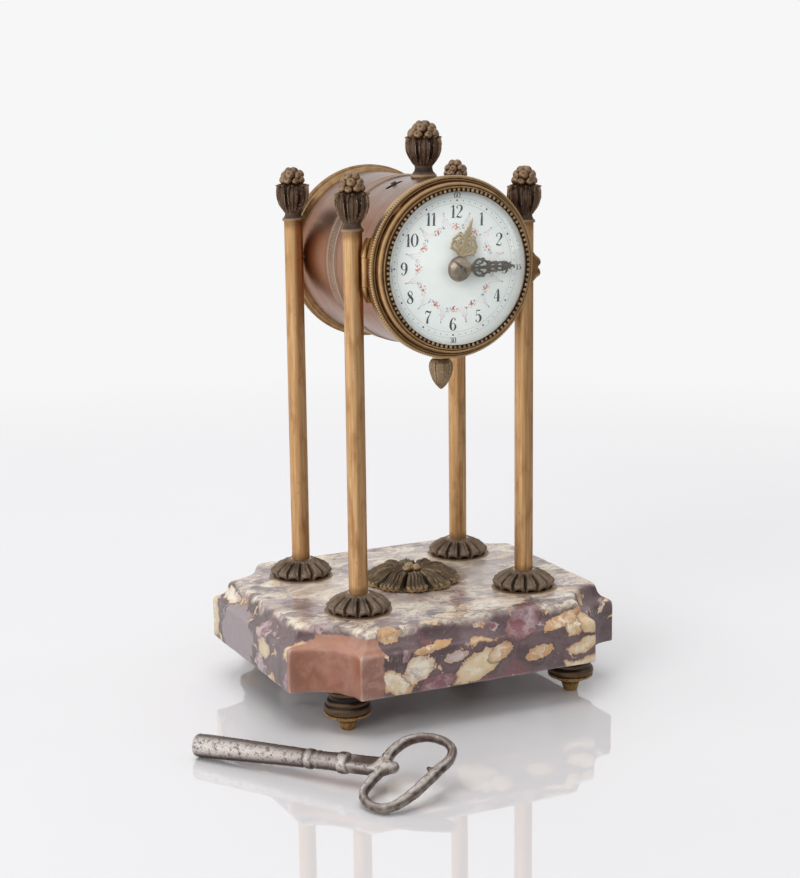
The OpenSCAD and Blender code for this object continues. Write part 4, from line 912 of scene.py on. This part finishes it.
DIGITS = {
    "1": [[(0.05, 0.8, 0.012), (0.13, 0.86, 0.02), (0.2, 0.97, 0.03)], [(0.22, 0.98, 0.035), (0.22, 0.5, 0.07),
          (0.22, 0.03, 0.07)], [(0.08, 0.015, 0.014), (0.36, 0.015, 0.014)]],
    "2": [[(0.06, 0.74, 0.02), (0.09, 0.88, 0.02), (0.24, 0.98, 0.015), (0.4, 0.9, 0.05), (0.44, 0.74, 0.075),
           (0.38, 0.56, 0.05), (0.22, 0.32, 0.02), (0.07, 0.1, 0.012)],
          [(0.05, 0.06, 0.015), (0.16, 0.09, 0.05), (0.3, 0.04, 0.045), (0.42, 0.06, 0.02), (0.46, 0.18, 0.012)]],
    "3": [[(0.07, 0.8, 0.02), (0.12, 0.93, 0.02), (0.25, 0.98, 0.015), (0.38, 0.9, 0.05), (0.39, 0.74, 0.065),
           (0.32, 0.6, 0.03), (0.2, 0.54, 0.012)],
          [(0.2, 0.54, 0.012), (0.34, 0.5, 0.03), (0.43, 0.36, 0.07), (0.42, 0.18, 0.07), (0.3, 0.03, 0.02),
           (0.16, 0.03, 0.015), (0.07, 0.13, 0.02)]],
    "4": [[(0.33, 0.98, 0.02), (0.04, 0.3, 0.012)], [(0.03, 0.28, 0.014), (0.5, 0.28, 0.014)],
          [(0.35, 0.98, 0.03), (0.35, 0.5, 0.07), (0.35, 0.03, 0.07)], [(0.22, 0.015, 0.014), (0.48, 0.015, 0.014)]],
    "5": [[(0.12, 0.97, 0.02), (0.25, 0.93, 0.04), (0.4, 0.96, 0.02)], [(0.11, 0.97, 0.012), (0.09, 0.52, 0.012)],
          [(0.09, 0.52, 0.012), (0.2, 0.6, 0.02), (0.34, 0.57, 0.05), (0.43, 0.38, 0.075), (0.4, 0.16, 0.06),
           (0.26, 0.02, 0.018), (0.12, 0.06, 0.018), (0.06, 0.16, 0.02)]],
    "6": [[(0.42, 0.86, 0.015), (0.36, 0.96, 0.015), (0.25, 0.97, 0.02), (0.12, 0.8, 0.05), (0.06, 0.48, 0.075),
           (0.09, 0.2, 0.065), (0.22, 0.02, 0.015), (0.36, 0.1, 0.045), (0.43, 0.3, 0.065), (0.37, 0.5, 0.03),
           (0.24, 0.58, 0.014), (0.12, 0.5, 0.014), (0.07, 0.4, 0.02)]],
    "7": [[(0.04, 0.78, 0.014), (0.07, 0.94, 0.03), (0.18, 0.97, 0.05), (0.32, 0.9, 0.04), (0.46, 0.98, 0.014)],
          [(0.46, 0.98, 0.014), (0.36, 0.72, 0.02), (0.22, 0.42, 0.05), (0.18, 0.03, 0.08)]],
    "8": [[(0.38, 0.84, 0.03), (0.26, 0.98, 0.014), (0.12, 0.88, 0.03), (0.13, 0.72, 0.06), (0.28, 0.54, 0.075),
           (0.42, 0.34, 0.07), (0.43, 0.14, 0.04), (0.28, 0.01, 0.014), (0.1, 0.12, 0.04), (0.08, 0.28, 0.03),
           (0.2, 0.46, 0.014), (0.36, 0.62, 0.014), (0.41, 0.76, 0.02), (0.38, 0.84, 0.03)]]}
DIGITS["9"] = [[(0.5 - x, 1 - y, w) for x, y, w in run] for run in DIGITS["6"]]
DIGITS["0"] = [[(0.28 + 0.21 * math.cos(t), 0.5 + 0.48 * math.sin(t), 0.015 + 0.06 * math.cos(t) ** 2)
                for t in np.linspace(0, 2 * math.pi, 15)]]
BALLS = {"2": (0.1, 0.76, 0.055), "3": (0.11, 0.8, 0.055), "5": (0.1, 0.17, 0.055), "6": (0.38, 0.84, 0.055),
         "9": (0.12, 0.16, 0.055)}
paint_back, paint_front = dial_front - 0.02, dial_front + 0.025
print_turn = 2.3
hour_radius, hour_height, dot_radius, quarter_radius, quarter_height = 17.2, 3.95, 20.5, 22.1, 1.7
circle_radii = (19.6, 21.3)


def figures(word, x, up, height):
    """A number drawn in swelling strokes, centred at (x, up); the whole print sits a little turned."""
    wide = {digit: 0.46 if digit == "1" else 0.62 for digit in "0123456789"}
    start = -sum(wide[d] for d in word) / 2
    parts = []
    cos, sin = math.cos(math.radians(print_turn)), -math.sin(math.radians(print_turn))

    def placed(a, b):
        a, b = (a * 1.16 + start) * height, (b - 0.5) * height
        return x + a * cos - b * sin, up + a * sin + b * cos

    for digit in word:
        for run in DIGITS[digit]:
            dense = smooth_line(run, 6) if len(run) > 2 else np.array(run)
            parts.append(strip([(*placed(a, b), (1.2 * w + 0.004) * height) for a, b, w in dense], paint_back,
                               paint_front))
        if digit in BALLS:
            a, b, w = BALLS[digit]
            parts.append(dot(*placed(a, b), w * height, paint_back, paint_front + 0.002))
        start += wide[digit]
    return parts


def around_dial(clock_angle, radius):
    """Point of the dial at an angle in degrees, clockwise from twelve."""
    turn = math.radians(clock_angle + print_turn)
    return radius * math.sin(turn), radius * math.cos(turn)


def fired_black(place):
    thin = place.grain(0.7, 4, 0.6)
    colour = thin.rise(0.5, 0.8).tint((0.022, 0.022, 0.026), (0.12, 0.12, 0.13))
    return {"Base Color": colour, "Roughness": 0.25 + 0.1 * thin, "Bump": (thin, 0.005)}


black_finish = finish("fired_black", fired_black)
hours = []
for hour in range(1, 13):
    hours += figures(str(hour), *around_dial(30 * hour, hour_radius), hour_height)
piece("dial_hour_figures", on_drum(*hours), black_finish, "frame")
track = []
for minute in range(60):
    size = 0.3 if minute % 5 == 0 else 0.16
    track.append(dot(*around_dial(6 * minute, dot_radius), size, paint_back, paint_front))
for minute in (60, 15, 30, 45):
    track += figures(str(minute), *around_dial(6 * (minute % 60), quarter_radius), quarter_height)
piece("dial_minute_dots", on_drum(*track), black_finish, "frame")


def circle_line(radius, width):
    turn = np.linspace(0, 2 * math.pi, 181)
    return strip(np.column_stack([radius * np.cos(turn), radius * np.sin(turn), np.full(181, width)]), paint_back,
                 paint_front - 0.004)


def fired_grey(place):
    thin = place.grain(0.4, 4, 0.6)
    return {"Base Color": thin.rise(0.35, 0.7).tint((0.42, 0.45, 0.46), (0.66, 0.7, 0.7)),
            "Roughness": 0.2 + 0.1 * thin, "Bump": (thin, 0.005)}


piece("dial_fine_circles", on_drum(*(circle_line(radius, 0.05) for radius in circle_radii)),
      finish("fired_grey", fired_grey), "frame")


def swag(hour, points, width):
    """A painted string hung between an hour's dabs."""
    spots = [(*around_dial(30 * hour + angle, radius), width) for angle, radius in points]
    return strip(smooth_line(spots, 8), paint_back, paint_front)


def dab(hour, angle, radius, size):
    """A brush dab, a little off its place and longer one way, as painted by hand."""
    drift = math.sin(7.3 * hour + 3.1 * angle + 1.7 * radius)
    x, up = around_dial(30 * hour + angle + 0.9 * drift, radius + 0.22 * math.cos(9 * drift + angle))
    lean = 2.5 * drift + angle
    half = np.array([math.cos(lean), math.sin(lean)]) * size * (1.15 + 0.35 * drift)
    spots = [(x - half[0], up - half[1], 0.25 * size), (x, up, size * 0.85), (x + half[0], up + half[1], 0.2 * size)]
    return strip(smooth_line(spots, 4), paint_back, paint_front + 0.003)


ribbons, cords, roses, buds, leaves, bows = [], [], [], [], [], []
either_side = ((roses, 3.2, 12.6, 0.3), (roses, 1.4, 11.7, 0.24), (leaves, 5.6, 12.2, 0.24), (leaves, 4.4, 13.3, 0.2),
               (buds, 2.4, 13.2, 0.2), (ribbons, 7.2, 13.2, 0.22), (leaves, 12.2, 14.9, 0.14))
once = ((roses, 0, 12.4, 0.4), (roses, -0.8, 13.1, 0.26), (buds, 0.6, 12.1, 0.22), (bows, 9.6, 13.3, 0.22),
        (bows, 10.6, 13.0, 0.22), (bows, 10.1, 12.6, 0.22))
cord = ((15, 17.0), (13.4, 15.3), (11, 13.8), (8, 12.9), (4, 12.5))
loop = ((15, 17.0), (14.6, 14.8), (13, 12.8), (11.2, 12.1))
for hour in range(12):
    for side in (-1, 1):
        string = swag(hour, [(side * angle, radius) for angle, radius in cord], 0.075)
        (cords if side > 0 else ribbons).append(string)
        ribbons.append(swag(hour, [(side * angle, radius) for angle, radius in loop], 0.05))
        for group, angle, radius, size in either_side:
            group.append(dab(hour, side * angle, radius, size))
    for group, angle, radius, size in once:
        group.append(dab(hour, angle, radius, size))
    bows.append(dot(*around_dial(30 * hour + 15, 17.1), 0.24, paint_back, paint_front + 0.004))


def painted(first, second):
    def paint(place):
        dabs = place.grain(1.6, 3)
        return {"Base Color": dabs.rise(0.4, 0.62).tint(first, second), "Roughness": 0.25 + 0.1 * dabs,
                "Bump": (dabs, 0.005)}
    return paint


for name, shape, colours in (("dial_ribbons", ribbons, ((0.74, 0.5, 0.5), (0.84, 0.68, 0.66))),
                             ("dial_cords", cords, ((0.42, 0.5, 0.55), (0.66, 0.7, 0.72))),
                             ("dial_roses", roses, ((0.55, 0.1, 0.12), (0.8, 0.4, 0.38))),
                             ("dial_buds", buds, ((0.72, 0.4, 0.14), (0.8, 0.56, 0.3))),
                             ("dial_leaves", leaves, ((0.24, 0.32, 0.27), (0.48, 0.55, 0.5))),
                             ("dial_bows", bows, ((0.13, 0.2, 0.27), (0.32, 0.42, 0.48)))):
    piece(name, on_drum(*shape), finish(name + "_paint", painted(*colours)), "frame")


# Hands: pierced and engraved rococo hands, the hour hand gilt brass, the minute hand dark steel,
# pushed on their pipes and held by a domed, slotted nut.
def both_sides(runs):
    """Each run and its mirror image about the hand's middle."""
    return [run for given in runs for run in (given, [(-x, y, w) for x, y, w in given])]


def hand(runs, boss, bore, turn, back, thick):
    """A hand laid out pointing up, turned clockwise by turn degrees."""
    parts = [strip(smooth_line(run, 7), back + 0.03, back + thick, 0.12) for run in runs]
    parts.append(polar([(bore, back), (boss - 0.1, back), (boss, back + 0.1), (boss, back + thick - 0.1),
                        (boss - 0.25, back + thick + 0.03), (bore + 0.3, back + thick), (bore, back + thick - 0.05)],
                       64, True))
    points, faces = joined(*parts)
    cos, sin = math.cos(math.radians(turn)), math.sin(math.radians(turn))
    x, up = points[:, 0].copy(), points[:, 1].copy()
    points[:, 0], points[:, 1] = x * cos + up * sin, up * cos - x * sin
    return forward(points), faces


hour_runs = [
    [(0, 2.4, 1.0), (0, 3.4, 0.75), (0, 4.6, 0.6), (0, 5.6, 0.4), (0, 7, 0.5), (0, 8.2, 0.62), (0, 9.4, 0.42),
     (0, 10.2, 0.9), (0, 11, 0.75), (0, 12, 0.6), (0, 13.6, 0.42), (0, 16, 0.08)]]
hour_runs += both_sides([
    [(0.1, 3.6, 0.4), (1.1, 4.2, 0.4), (2.3, 4.9, 0.42), (3.6, 5.3, 0.42), (4.7, 5.4, 0.3), (5.4, 5.1, 0.06)],
    [(4.5, 5.4, 0.15), (5.0, 6.2, 0.3), (4.9, 7.1, 0.34), (4.3, 7.7, 0.3), (3.6, 7.5, 0.24), (3.5, 6.9, 0.2),
     (3.9, 6.6, 0.2)],
    [(4.9, 7.2, 0.12), (5.2, 7.9, 0.24), (4.7, 8.5, 0.26), (4.1, 8.6, 0.2)],
    [(4.5, 8.3, 0.15), (4.2, 9.1, 0.3), (3.5, 9.7, 0.32), (2.6, 9.8, 0.3), (2.0, 9.3, 0.24), (2.3, 8.7, 0.2),
     (2.8, 8.8, 0.18)],
    [(3.4, 9.7, 0.1), (3.5, 10.4, 0.2), (2.9, 10.7, 0.2), (2.3, 10.3, 0.16)],
    [(1.0, 5.0, 0.15), (1.9, 5.7, 0.3), (2.5, 6.6, 0.34), (2.3, 7.6, 0.32), (1.5, 8.1, 0.28), (0.8, 7.8, 0.2),
     (0.9, 7.2, 0.16)],
    [(2.6, 6.2, 0.15), (3.2, 6.4, 0.2), (3.0, 7.4, 0.22), (3.1, 8.2, 0.2), (2.6, 8.3, 0.16)],
    [(0.1, 9.5, 0.25), (0.9, 9.1, 0.26), (1.6, 9.4, 0.24), (1.7, 10.2, 0.2), (1.2, 10.5, 0.16)],
    [(0.2, 5.4, 0.12), (0.9, 5.9, 0.22), (1.2, 6.7, 0.2), (0.7, 7.1, 0.12)],
    [(0.6, 10.8, 0.2), (1.2, 11.3, 0.16), (1.0, 11.9, 0.06)], [(0.4, 12.3, 0.18), (0.9, 12.8, 0.06)]])
hour_runs = [[(0.82 * x, y, 1.2 * w) for x, y, w in run] for run in hour_runs]
hour_turn, hour_layer = 19.5, 34.6


def engraved(dark, bright):
    def paint(place):
        lines = place.stretch((1, 0.1, 1)).grain(2.6, 3, 0.6)
        level = 0.55 * place.wear() + 0.45 * lines
        return {"Base Color": level.rise(0.25, 0.68).tint(dark, bright), "Roughness": 0.3 + 0.2 * lines,
                "Bump": (lines, 0.04)}
    return paint


hour_finish = finish("hand_gilt", engraved((0.13, 0.088, 0.042), (0.6, 0.46, 0.27)), Metallic=0.9)
piece("hour_hand_rococo", hand(hour_runs, 2.7, 1.75, hour_turn, hour_layer, 0.32), hour_finish, "hour",
      ["hour_hand"], 45, 2)
minute_runs = [
    [(0, 1.9, 0.9), (0, 3.2, 0.75), (0, 4.6, 0.9), (0, 5.6, 0.6)],
    [(0, 5.4, 0.4), (0, 7.2, 0.34), (0, 8.6, 0.45), (0, 10, 0.34), (0, 11.6, 0.4), (0, 13.4, 0.32), (0, 15.2, 0.4),
     (0, 16.8, 0.34), (0, 17.6, 0.6), (0, 18.4, 0.34), (0, 19.5, 0.07)]]
minute_runs += both_sides([
    [(0.2, 4.9, 0.35), (1.1, 5.3, 0.36), (2.0, 6.0, 0.36), (2.5, 7.0, 0.34), (2.3, 7.9, 0.3), (1.6, 8.2, 0.26),
     (1.2, 7.6, 0.22), (1.5, 7.0, 0.18)],
    [(1.0, 5.6, 0.16), (0.9, 6.6, 0.26), (0.6, 7.4, 0.2)],
    [(2.4, 7.8, 0.15), (2.8, 8.3, 0.2), (2.4, 8.8, 0.22), (1.8, 8.7, 0.16)],
    [(1.9, 8.7, 0.2), (1.8, 9.4, 0.3), (1.2, 10.0, 0.32), (0.5, 9.9, 0.26), (0.5, 9.3, 0.18)],
    [(1.3, 9.9, 0.12), (1.8, 10.3, 0.18), (1.5, 10.8, 0.2), (1.0, 10.7, 0.14)],
    [(0.2, 10.3, 0.2), (0.9, 10.9, 0.28), (1.3, 11.7, 0.28), (1.0, 12.5, 0.26), (0.4, 12.6, 0.2), (0.4, 12, 0.14)],
    [(1.2, 12.3, 0.12), (1.6, 12.7, 0.16), (1.3, 13.2, 0.18), (0.8, 13.1, 0.12)],
    [(0.2, 13, 0.2), (0.9, 13.5, 0.26), (1.2, 14.3, 0.26), (0.8, 15.1, 0.24), (0.3, 15.1, 0.18)],
    [(1.0, 14.8, 0.1), (1.4, 15.1, 0.15), (1.1, 15.7, 0.16), (0.6, 15.6, 0.1)],
    [(0.2, 15.5, 0.2), (0.9, 15.9, 0.24), (1.1, 16.5, 0.24), (0.6, 17, 0.2), (0.1, 17.3, 0.2)],
    [(0.1, 17.2, 0.25), (0.7, 17.5, 0.24), (1.1, 18, 0.06)]])
minute_runs = [[(x, y, 1.2 * w) for x, y, w in run] for run in minute_runs]
minute_turn, minute_layer = 90, 35.4
minute_finish = finish("hand_steel", engraved((0.012, 0.011, 0.01), (0.17, 0.155, 0.13)), Metallic=0.85)
piece("minute_hand_rococo", hand(minute_runs, 2.2, 1.15, minute_turn, minute_layer, 0.32), minute_finish, "centre",
      ["minute_hand"], 45, 2)


def nut_metal(place):
    mottle = place.grain(0.6, 4, 0.6)
    colour = mottle.rise(0.35, 0.68).tint((0.33, 0.265, 0.2), (0.22, 0.175, 0.135))
    # Painted highlight: the nut's right side is painted a lighter gold, standing for the light falling on that side.
    right = place.axis("X").rise(1.6, 3.3)
    colour = (right * 0.8).tint(colour, (0.6, 0.42, 0.2))
    scratches = place.stretch((1, 1, 6)).grain(1, 3, 0.7)
    return {"Base Color": colour, "Roughness": 0.32 + 0.15 * mottle, "Bump": (scratches, 0.02)}


dress(finish("nut_bronze", nut_metal, Metallic=0.95), "hand_nut")


# Movement: plates, pillars, barrel and wheels of lacquered brass with a fine circular grain;
# arbors, springs, screws and the working steels are ground and polished, some of them blued.
def movement_brass(place):
    grain_lines = place.stretch((3, 3, 0.4)).grain(1, 3, 0.65)
    tone = place.grain(0.09, 3)
    colour = tone.rise(0.35, 0.68).tint((0.63, 0.45, 0.18), (0.5, 0.34, 0.13))
    colour = (place.grain(0.5, 4).rise(0.6, 0.78) * 0.3).tint(colour, (0.33, 0.2, 0.08))
    return {"Base Color": colour, "Roughness": 0.28 + 0.12 * grain_lines, "Bump": (grain_lines, 0.015)}


def movement_steel(place):
    lines = place.stretch((4, 0.5, 4)).grain(1, 3, 0.65)
    blue = place.grain(0.2, 2)
    colour = blue.rise(0.4, 0.65).tint((0.34, 0.33, 0.33), (0.24, 0.24, 0.26))
    return {"Base Color": colour, "Roughness": 0.25 + 0.14 * lines, "Bump": (lines, 0.01)}


def blued_steel(place):
    tone = place.grain(0.4, 3)
    return {"Base Color": tone.rise(0.3, 0.7).tint((0.06, 0.09, 0.2), (0.12, 0.12, 0.2)),
            "Roughness": 0.22 + 0.1 * tone, "Bump": (place.grain(3), 0.008)}


dress(finish("movement_brass", movement_brass, Metallic=1.0), "dial_ring", "cannon_pinion", "minute_wheel",
      "hour_wheel", "front_plate", "back_plate", "pillars", "mainspring_barrel", "third_wheel", "fourth_wheel",
      "escape_wheel", "balance_wheel", "balance_cock")
dress(finish("ground_steel", movement_steel, Metallic=1.0), "tie_rods", "nuts", "drum_screws", "winding_arbor",
      "centre_arbor", "ratchet_wheel", "click", "pallet_lever", "regulator")
dress(finish("blued_steel", blued_steel, Metallic=1.0), "plate_screws", "mainspring", "hairspring")


# Winding key: one forging of steel, barrel bored with a square socket, turned rings, a flat filed neck
# and a looped bow with a cusp; bare metal, pitted and stained brown with rust, with a painted sheen
# down one side and painted shade on the other.
key_at, key_yaw, key_pitch, key_twist = (-89.49, -37.67, 3.55), -52.65, 3.1, 20


def key_frame(points):
    """From the key's own axes, with X along it from its open end, to the clock's frame."""
    def spin(angle, a, b):
        matrix = np.eye(3)
        matrix[a, a] = matrix[b, b] = math.cos(math.radians(angle))
        matrix[a, b], matrix[b, a] = -math.sin(math.radians(angle)), math.sin(math.radians(angle))
        return matrix
    return points @ (spin(key_yaw, 0, 1) @ spin(key_pitch, 0, 2) @ spin(key_twist, 1, 2)).T + key_at


def tube(path, radii, sides=14, flat=1.0, closed=True):
    """A rod bent along a flat path of (along, across), flat times as thick as it is wide."""
    path = np.array(path, float)
    way = (np.roll(path, -1, 0) - np.roll(path, 1, 0)) if closed else np.gradient(path, axis=0)
    way /= np.linalg.norm(way, axis=1)[:, None]
    side = np.column_stack([-way[:, 1], way[:, 0]])
    ring = [np.column_stack([path + side * (radii * math.cos(t))[:, None], radii * flat * math.sin(t)])
            for t in circle(sides)]
    points = np.stack(ring, 1).reshape(-1, 3)
    return (points, grid(len(path), sides, True)) if closed else capped(points, sides)


socket, socket_depth = 1.85, 12
barrel = [(3.1, 0), (3.3, 0.12), (3.45, 0.5), (3.47, 1.5), (3.46, 8), (3.25, 17), (3.02, 27), (2.8, 36.6),
          (2.62, 37.3), (2.55, 37.6), (2.85, 37.9), (3, 38.4), (3, 39.4), (2.85, 39.9), (2.5, 40.2), (2.5, 40.7),
          (2.7, 41.3), (2.72, 42.2), (2.55, 42.6), (2.66, 43.2), (2.64, 46), (2.72, 47.9), (2.66, 48.4), (3.1, 48.8),
          (3.22, 49.5), (3.2, 50.8), (3.05, 51.4), (2.6, 51.8), (0, 51.9)]
key_sides = 64
turn = circle(key_sides)
square = socket / 2 / np.maximum(np.abs(np.cos(turn)), np.abs(np.sin(turn)))
rings = [(0.001, socket_depth), (square, socket_depth), (square, 0.15), (1.12 * square, 0)]
for (r0, x0), (r1, x1) in zip(barrel, barrel[1:]):
    count = max(1, int((x1 - x0) / 0.6))
    rings += [(r0 + (r1 - r0) * i / count, x0 + (x1 - x0) * i / count) for i in range(count)]
points, faces = polar(rings + [barrel[-1]], key_sides)
points = points[:, [2, 0, 1]]
outer = np.hypot(points[:, 1], points[:, 2]) > 2.3
points[outer] = rough(points, 0.06, 0.45, 4)[outer]
key_parts = [(points, faces)]

neck_sides = 24
turn = (np.arange(neck_sides) + 0.5) * 2 * math.pi / neck_sides
across, over = [np.sign(wave) * np.abs(wave) ** 0.22 for wave in (np.cos(turn), np.sin(turn))]
neck = [np.column_stack([np.full(neck_sides, x), wide * across, thick * over]) for x, wide, thick in (
    (51.4, 2.0, 1.5), (51.9, 2.45, 1.72), (54, 2.5, 1.75), (58, 2.55, 1.7), (60.6, 2.7, 1.75), (62.4, 3.0, 1.8))]
key_parts.append(capped(rough(np.concatenate(neck), 0.1, 0.5, 6), neck_sides))

bow_at = 63.9
bow = smooth_line([(-1.6, -1.5), (-1.9, 2.5), (-1.8, 7.4), (0.7, 12.6), (5.7, 15.1), (11.6, 14.3), (15.9, 11.1),
                   (17.1, 6.4), (15.5, 1.2), (14.2, -3.6), (12.6, -8.8), (10.1, -13.9), (6.4, -16.7), (1.4, -15.8),
                   (-2.4, -12), (-2.4, -6.6)], 7, True)
swell = 1.5 + 0.2 * np.sin(np.linspace(0, 2 * math.pi, len(bow), endpoint=False) * 2 + 0.7)
points, faces = tube(bow * 0.975 + [bow_at + 0.2, 0], swell, 16, 0.98)
key_parts.append((rough(points, 0.14, 0.5, 8), faces))
cusp = smooth_line([(15.6, 1.1), (14, 1.0), (12.9, 1.4), (12, 2)], 5) + [bow_at, 0]
key_parts.append(tube(cusp, np.linspace(1.5, 0.5, len(cusp)), 12, 0.9, False))
for x, across, along, wide, thick in ((-1.0, 0.3, 3.1, 2.9, 1.9), (1.1, 0.4, 2.5, 2.1, 1.6)):
    points, faces = ball((0, 0, 0), 1)
    key_parts.append((rough(points * [along, wide, thick] + [bow_at + x, across, 0], 0.14, 0.5, 3), faces))
for side in (1, -1):
    curl = smooth_line([(-2.4, side * 5.0), (-1.9, side * 3.4), (-0.4, side * 2.0), (1.4, side * 1.0)], 6)
    curl += [bow_at, 0]
    key_parts.append(tube(curl, np.linspace(1.5, 1.0, len(curl)), 14, 1.0, False))


def key_metal(place):
    stain = place.grain(0.75, 5, 0.72)
    pits = 1 - place.cells(1.5).rise(0.1, 0.3)
    fine = place.grain(2.6, 4, 0.7)
    local = place.node("Mapping", {"vector_type": "TEXTURE"}, {
        "Vector": place, "Location": key_at,
        "Rotation": [math.radians(angle) for angle in (key_twist, -key_pitch, key_yaw)]})
    # Painted sheen and shade: in the key's own axes, one side of the barrel and the top of the bow are painted pale
    # grey, the other side dark brown.
    painted_lit_side = (local.axis("Z") * 0.68 - local.axis("Y") * 0.73) * 0.3
    in_bow = local.axis("X").rise(59, 62)
    painted_lit_side = painted_lit_side * (1 - in_bow) + local.axis("Z") * 0.6 * in_bow
    painted_sheen = (painted_lit_side + 0.25 * (stain - 0.5)).rise(0.48, 1.0)
    sheen_and_shade_colour = painted_sheen.tint((0.1, 0.068, 0.057), (0.7, 0.64, 0.61))
    colour = (stain.rise(0.5, 0.62) * 0.8).tint(sheen_and_shade_colour, (0.11, 0.07, 0.055))
    colour = (fine.rise(0.52, 0.7) * 0.4).tint(colour, (0.15, 0.105, 0.085))
    colour = (pits * 0.6).tint(colour, (0.06, 0.042, 0.034))
    colour = (place.wear().rise(0.65, 1) * 0.4).tint(colour, (0.6, 0.55, 0.5))
    return {"Base Color": colour, "Metallic": 1 - 0.3 * stain.rise(0.54, 0.66),
            "Roughness": 0.2 + 0.22 * stain.rise(0.42, 0.62), "Bump": (fine * 0.6 - pits * 0.6, 0.05)}


points, faces = joined(*key_parts)
piece("forged_key", (key_frame(points), faces), finish("key_steel", key_metal), "key", ["winding_key"],
      40, 3)


# Table, backdrop, lamps and camera: a glossy white table top in a white studio, lit by large soft
# lamps from above and from the left; the camera stands in front, a little to the left of the clock.
BACKDROP = (0.93, 0.93, 0.935)


def room_tone(aside, ahead):
    """What polished metal mirrors of the room: bright at its left wall, dark at its right, grey at its back."""
    front = aside.rise(-0.6, 0.7).tint((0.42, 0.41, 0.4), (1.15, 1.14, 1.12))
    rear = aside.rise(-0.5, 0.4).tint((0.32, 0.31, 0.31), (0.8, 0.79, 0.79))
    return (ahead.rise(0.1, 0.9) * 0.8).tint(front, rear)


def headings(place):
    """How far a direction points to the room's left wall, and to its back wall."""
    return 0.43 * place.axis("Y") - 0.9 * place.axis("X"), 0.9 * place.axis("Y") + 0.43 * place.axis("X")


def table_top():
    made, start, place = blank_material("white_table")
    shade = place.grain(0.01, 2).tint((0.68, 0.67, 0.682), (0.7, 0.692, 0.702))
    matt = start.node("BsdfDiffuse", {}, {"Color": shade})
    gloss = start.node("BsdfGlossy", {}, {"Color": (1.0, 1.0, 1.0), "Roughness": 0.02})
    top = start.node("MixShader", {}, {0: 0.24, 1: matt, 2: gloss})
    far = place.shift((0, -60, 0)).length()
    glow = start.node("Emission", {}, {"Color": BACKDROP, "Strength": 1.0})
    mixed = start.node("MixShader", {}, {0: far.rise(230, 620) * start.ray("Camera"), 1: top, 2: glow})
    away = start.node("VectorMath", {"operation": "NORMALIZE"}, {0: place})
    mirrored = start.node("Emission", {}, {"Color": room_tone(*headings(away)), "Strength": 1.0})
    mixed = start.node("MixShader", {}, {0: far.rise(110, 300) * start.ray("Glossy"), 1: mixed, 2: mirrored})
    start.node("OutputMaterial", {}, {"Surface": mixed})
    return made


table_mesh = bpy.data.meshes.new("table")
table_mesh.from_pydata([(-4, -4, 0), (4, -4, 0), (4, 4, 0), (-4, 4, 0)], [], [(0, 1, 2, 3)])
table_mesh.materials.append(table_top())
place_object("table", table_mesh)

world = bpy.data.worlds.new("studio")
bpy.context.scene.world = world
world.use_nodes = True
world.node_tree.nodes.clear()
sky = Wire(world.node_tree)
way = sky.node("TexCoord", {}, {}, "Generated")
overhead = way.axis("Z").rise(0.35, 0.95)
room = (overhead * 0.85).tint(room_tone(*headings(way)), (0.95, 0.95, 0.96))
backdrop = headings(way)[1].rise(0.6, 0.85) * way.axis("Z").rise(0.02, 0.1)
room = backdrop.tint(room, BACKDROP)
lit = sky.ray("Glossy").tint((0.36, 0.36, 0.37), room)
lit = sky.maths("MAXIMUM", sky.ray("Camera"), sky.ray("Transmission")).tint(lit, BACKDROP)
sky.node("OutputWorld", {}, {"Surface": sky.node("Background", {}, {"Color": lit, "Strength": 1.0})})


def lamp(name, place, target, size, power):
    light = bpy.data.lights.new(name, "AREA")
    light.shape, light.size, light.size_y = "RECTANGLE", size[0], size[1]
    light.energy = power
    made = place_object(name, light)
    made.location = place
    made.visible_glossy = False
    made.rotation_euler = (Vector(target) - Vector(place)).to_track_quat("-Z", "Y").to_euler()


lamp("lamp_top", (-0.25, -0.05, 1.3), (0, 0, 0.1), (1.0, 1.0), 11)
lamp("lamp_left", (-1.15, -0.75, 0.7), (0, 0, 0.12), (0.7, 0.9), 11)
lamp("lamp_right", (1.2, -0.3, 0.6), (0, 0, 0.12), (0.35, 0.9), 2)
lamp("lamp_back", (0.3, 0.65, 0.8), (0.3, 0.651, 0), (0.8, 0.8), 3)

view = bpy.data.cameras.new("view")
view.lens, view.sensor_width, view.clip_start = 76.49, 36, 0.01
camera = place_object("view", view)
right, over, back = (0.90172, -0.43216, -0.01184), (0.09654, 0.17460, 0.97990), (-0.42140, -0.88474, 0.19916)
stand = Matrix((right, over, back)).transposed().to_4x4()
stand.translation = (-0.26093, -0.54062, 0.20327)
camera.matrix_world = stand
bpy.context.scene.camera = camera
bpy.context.scene.view_settings.view_transform = "Standard"
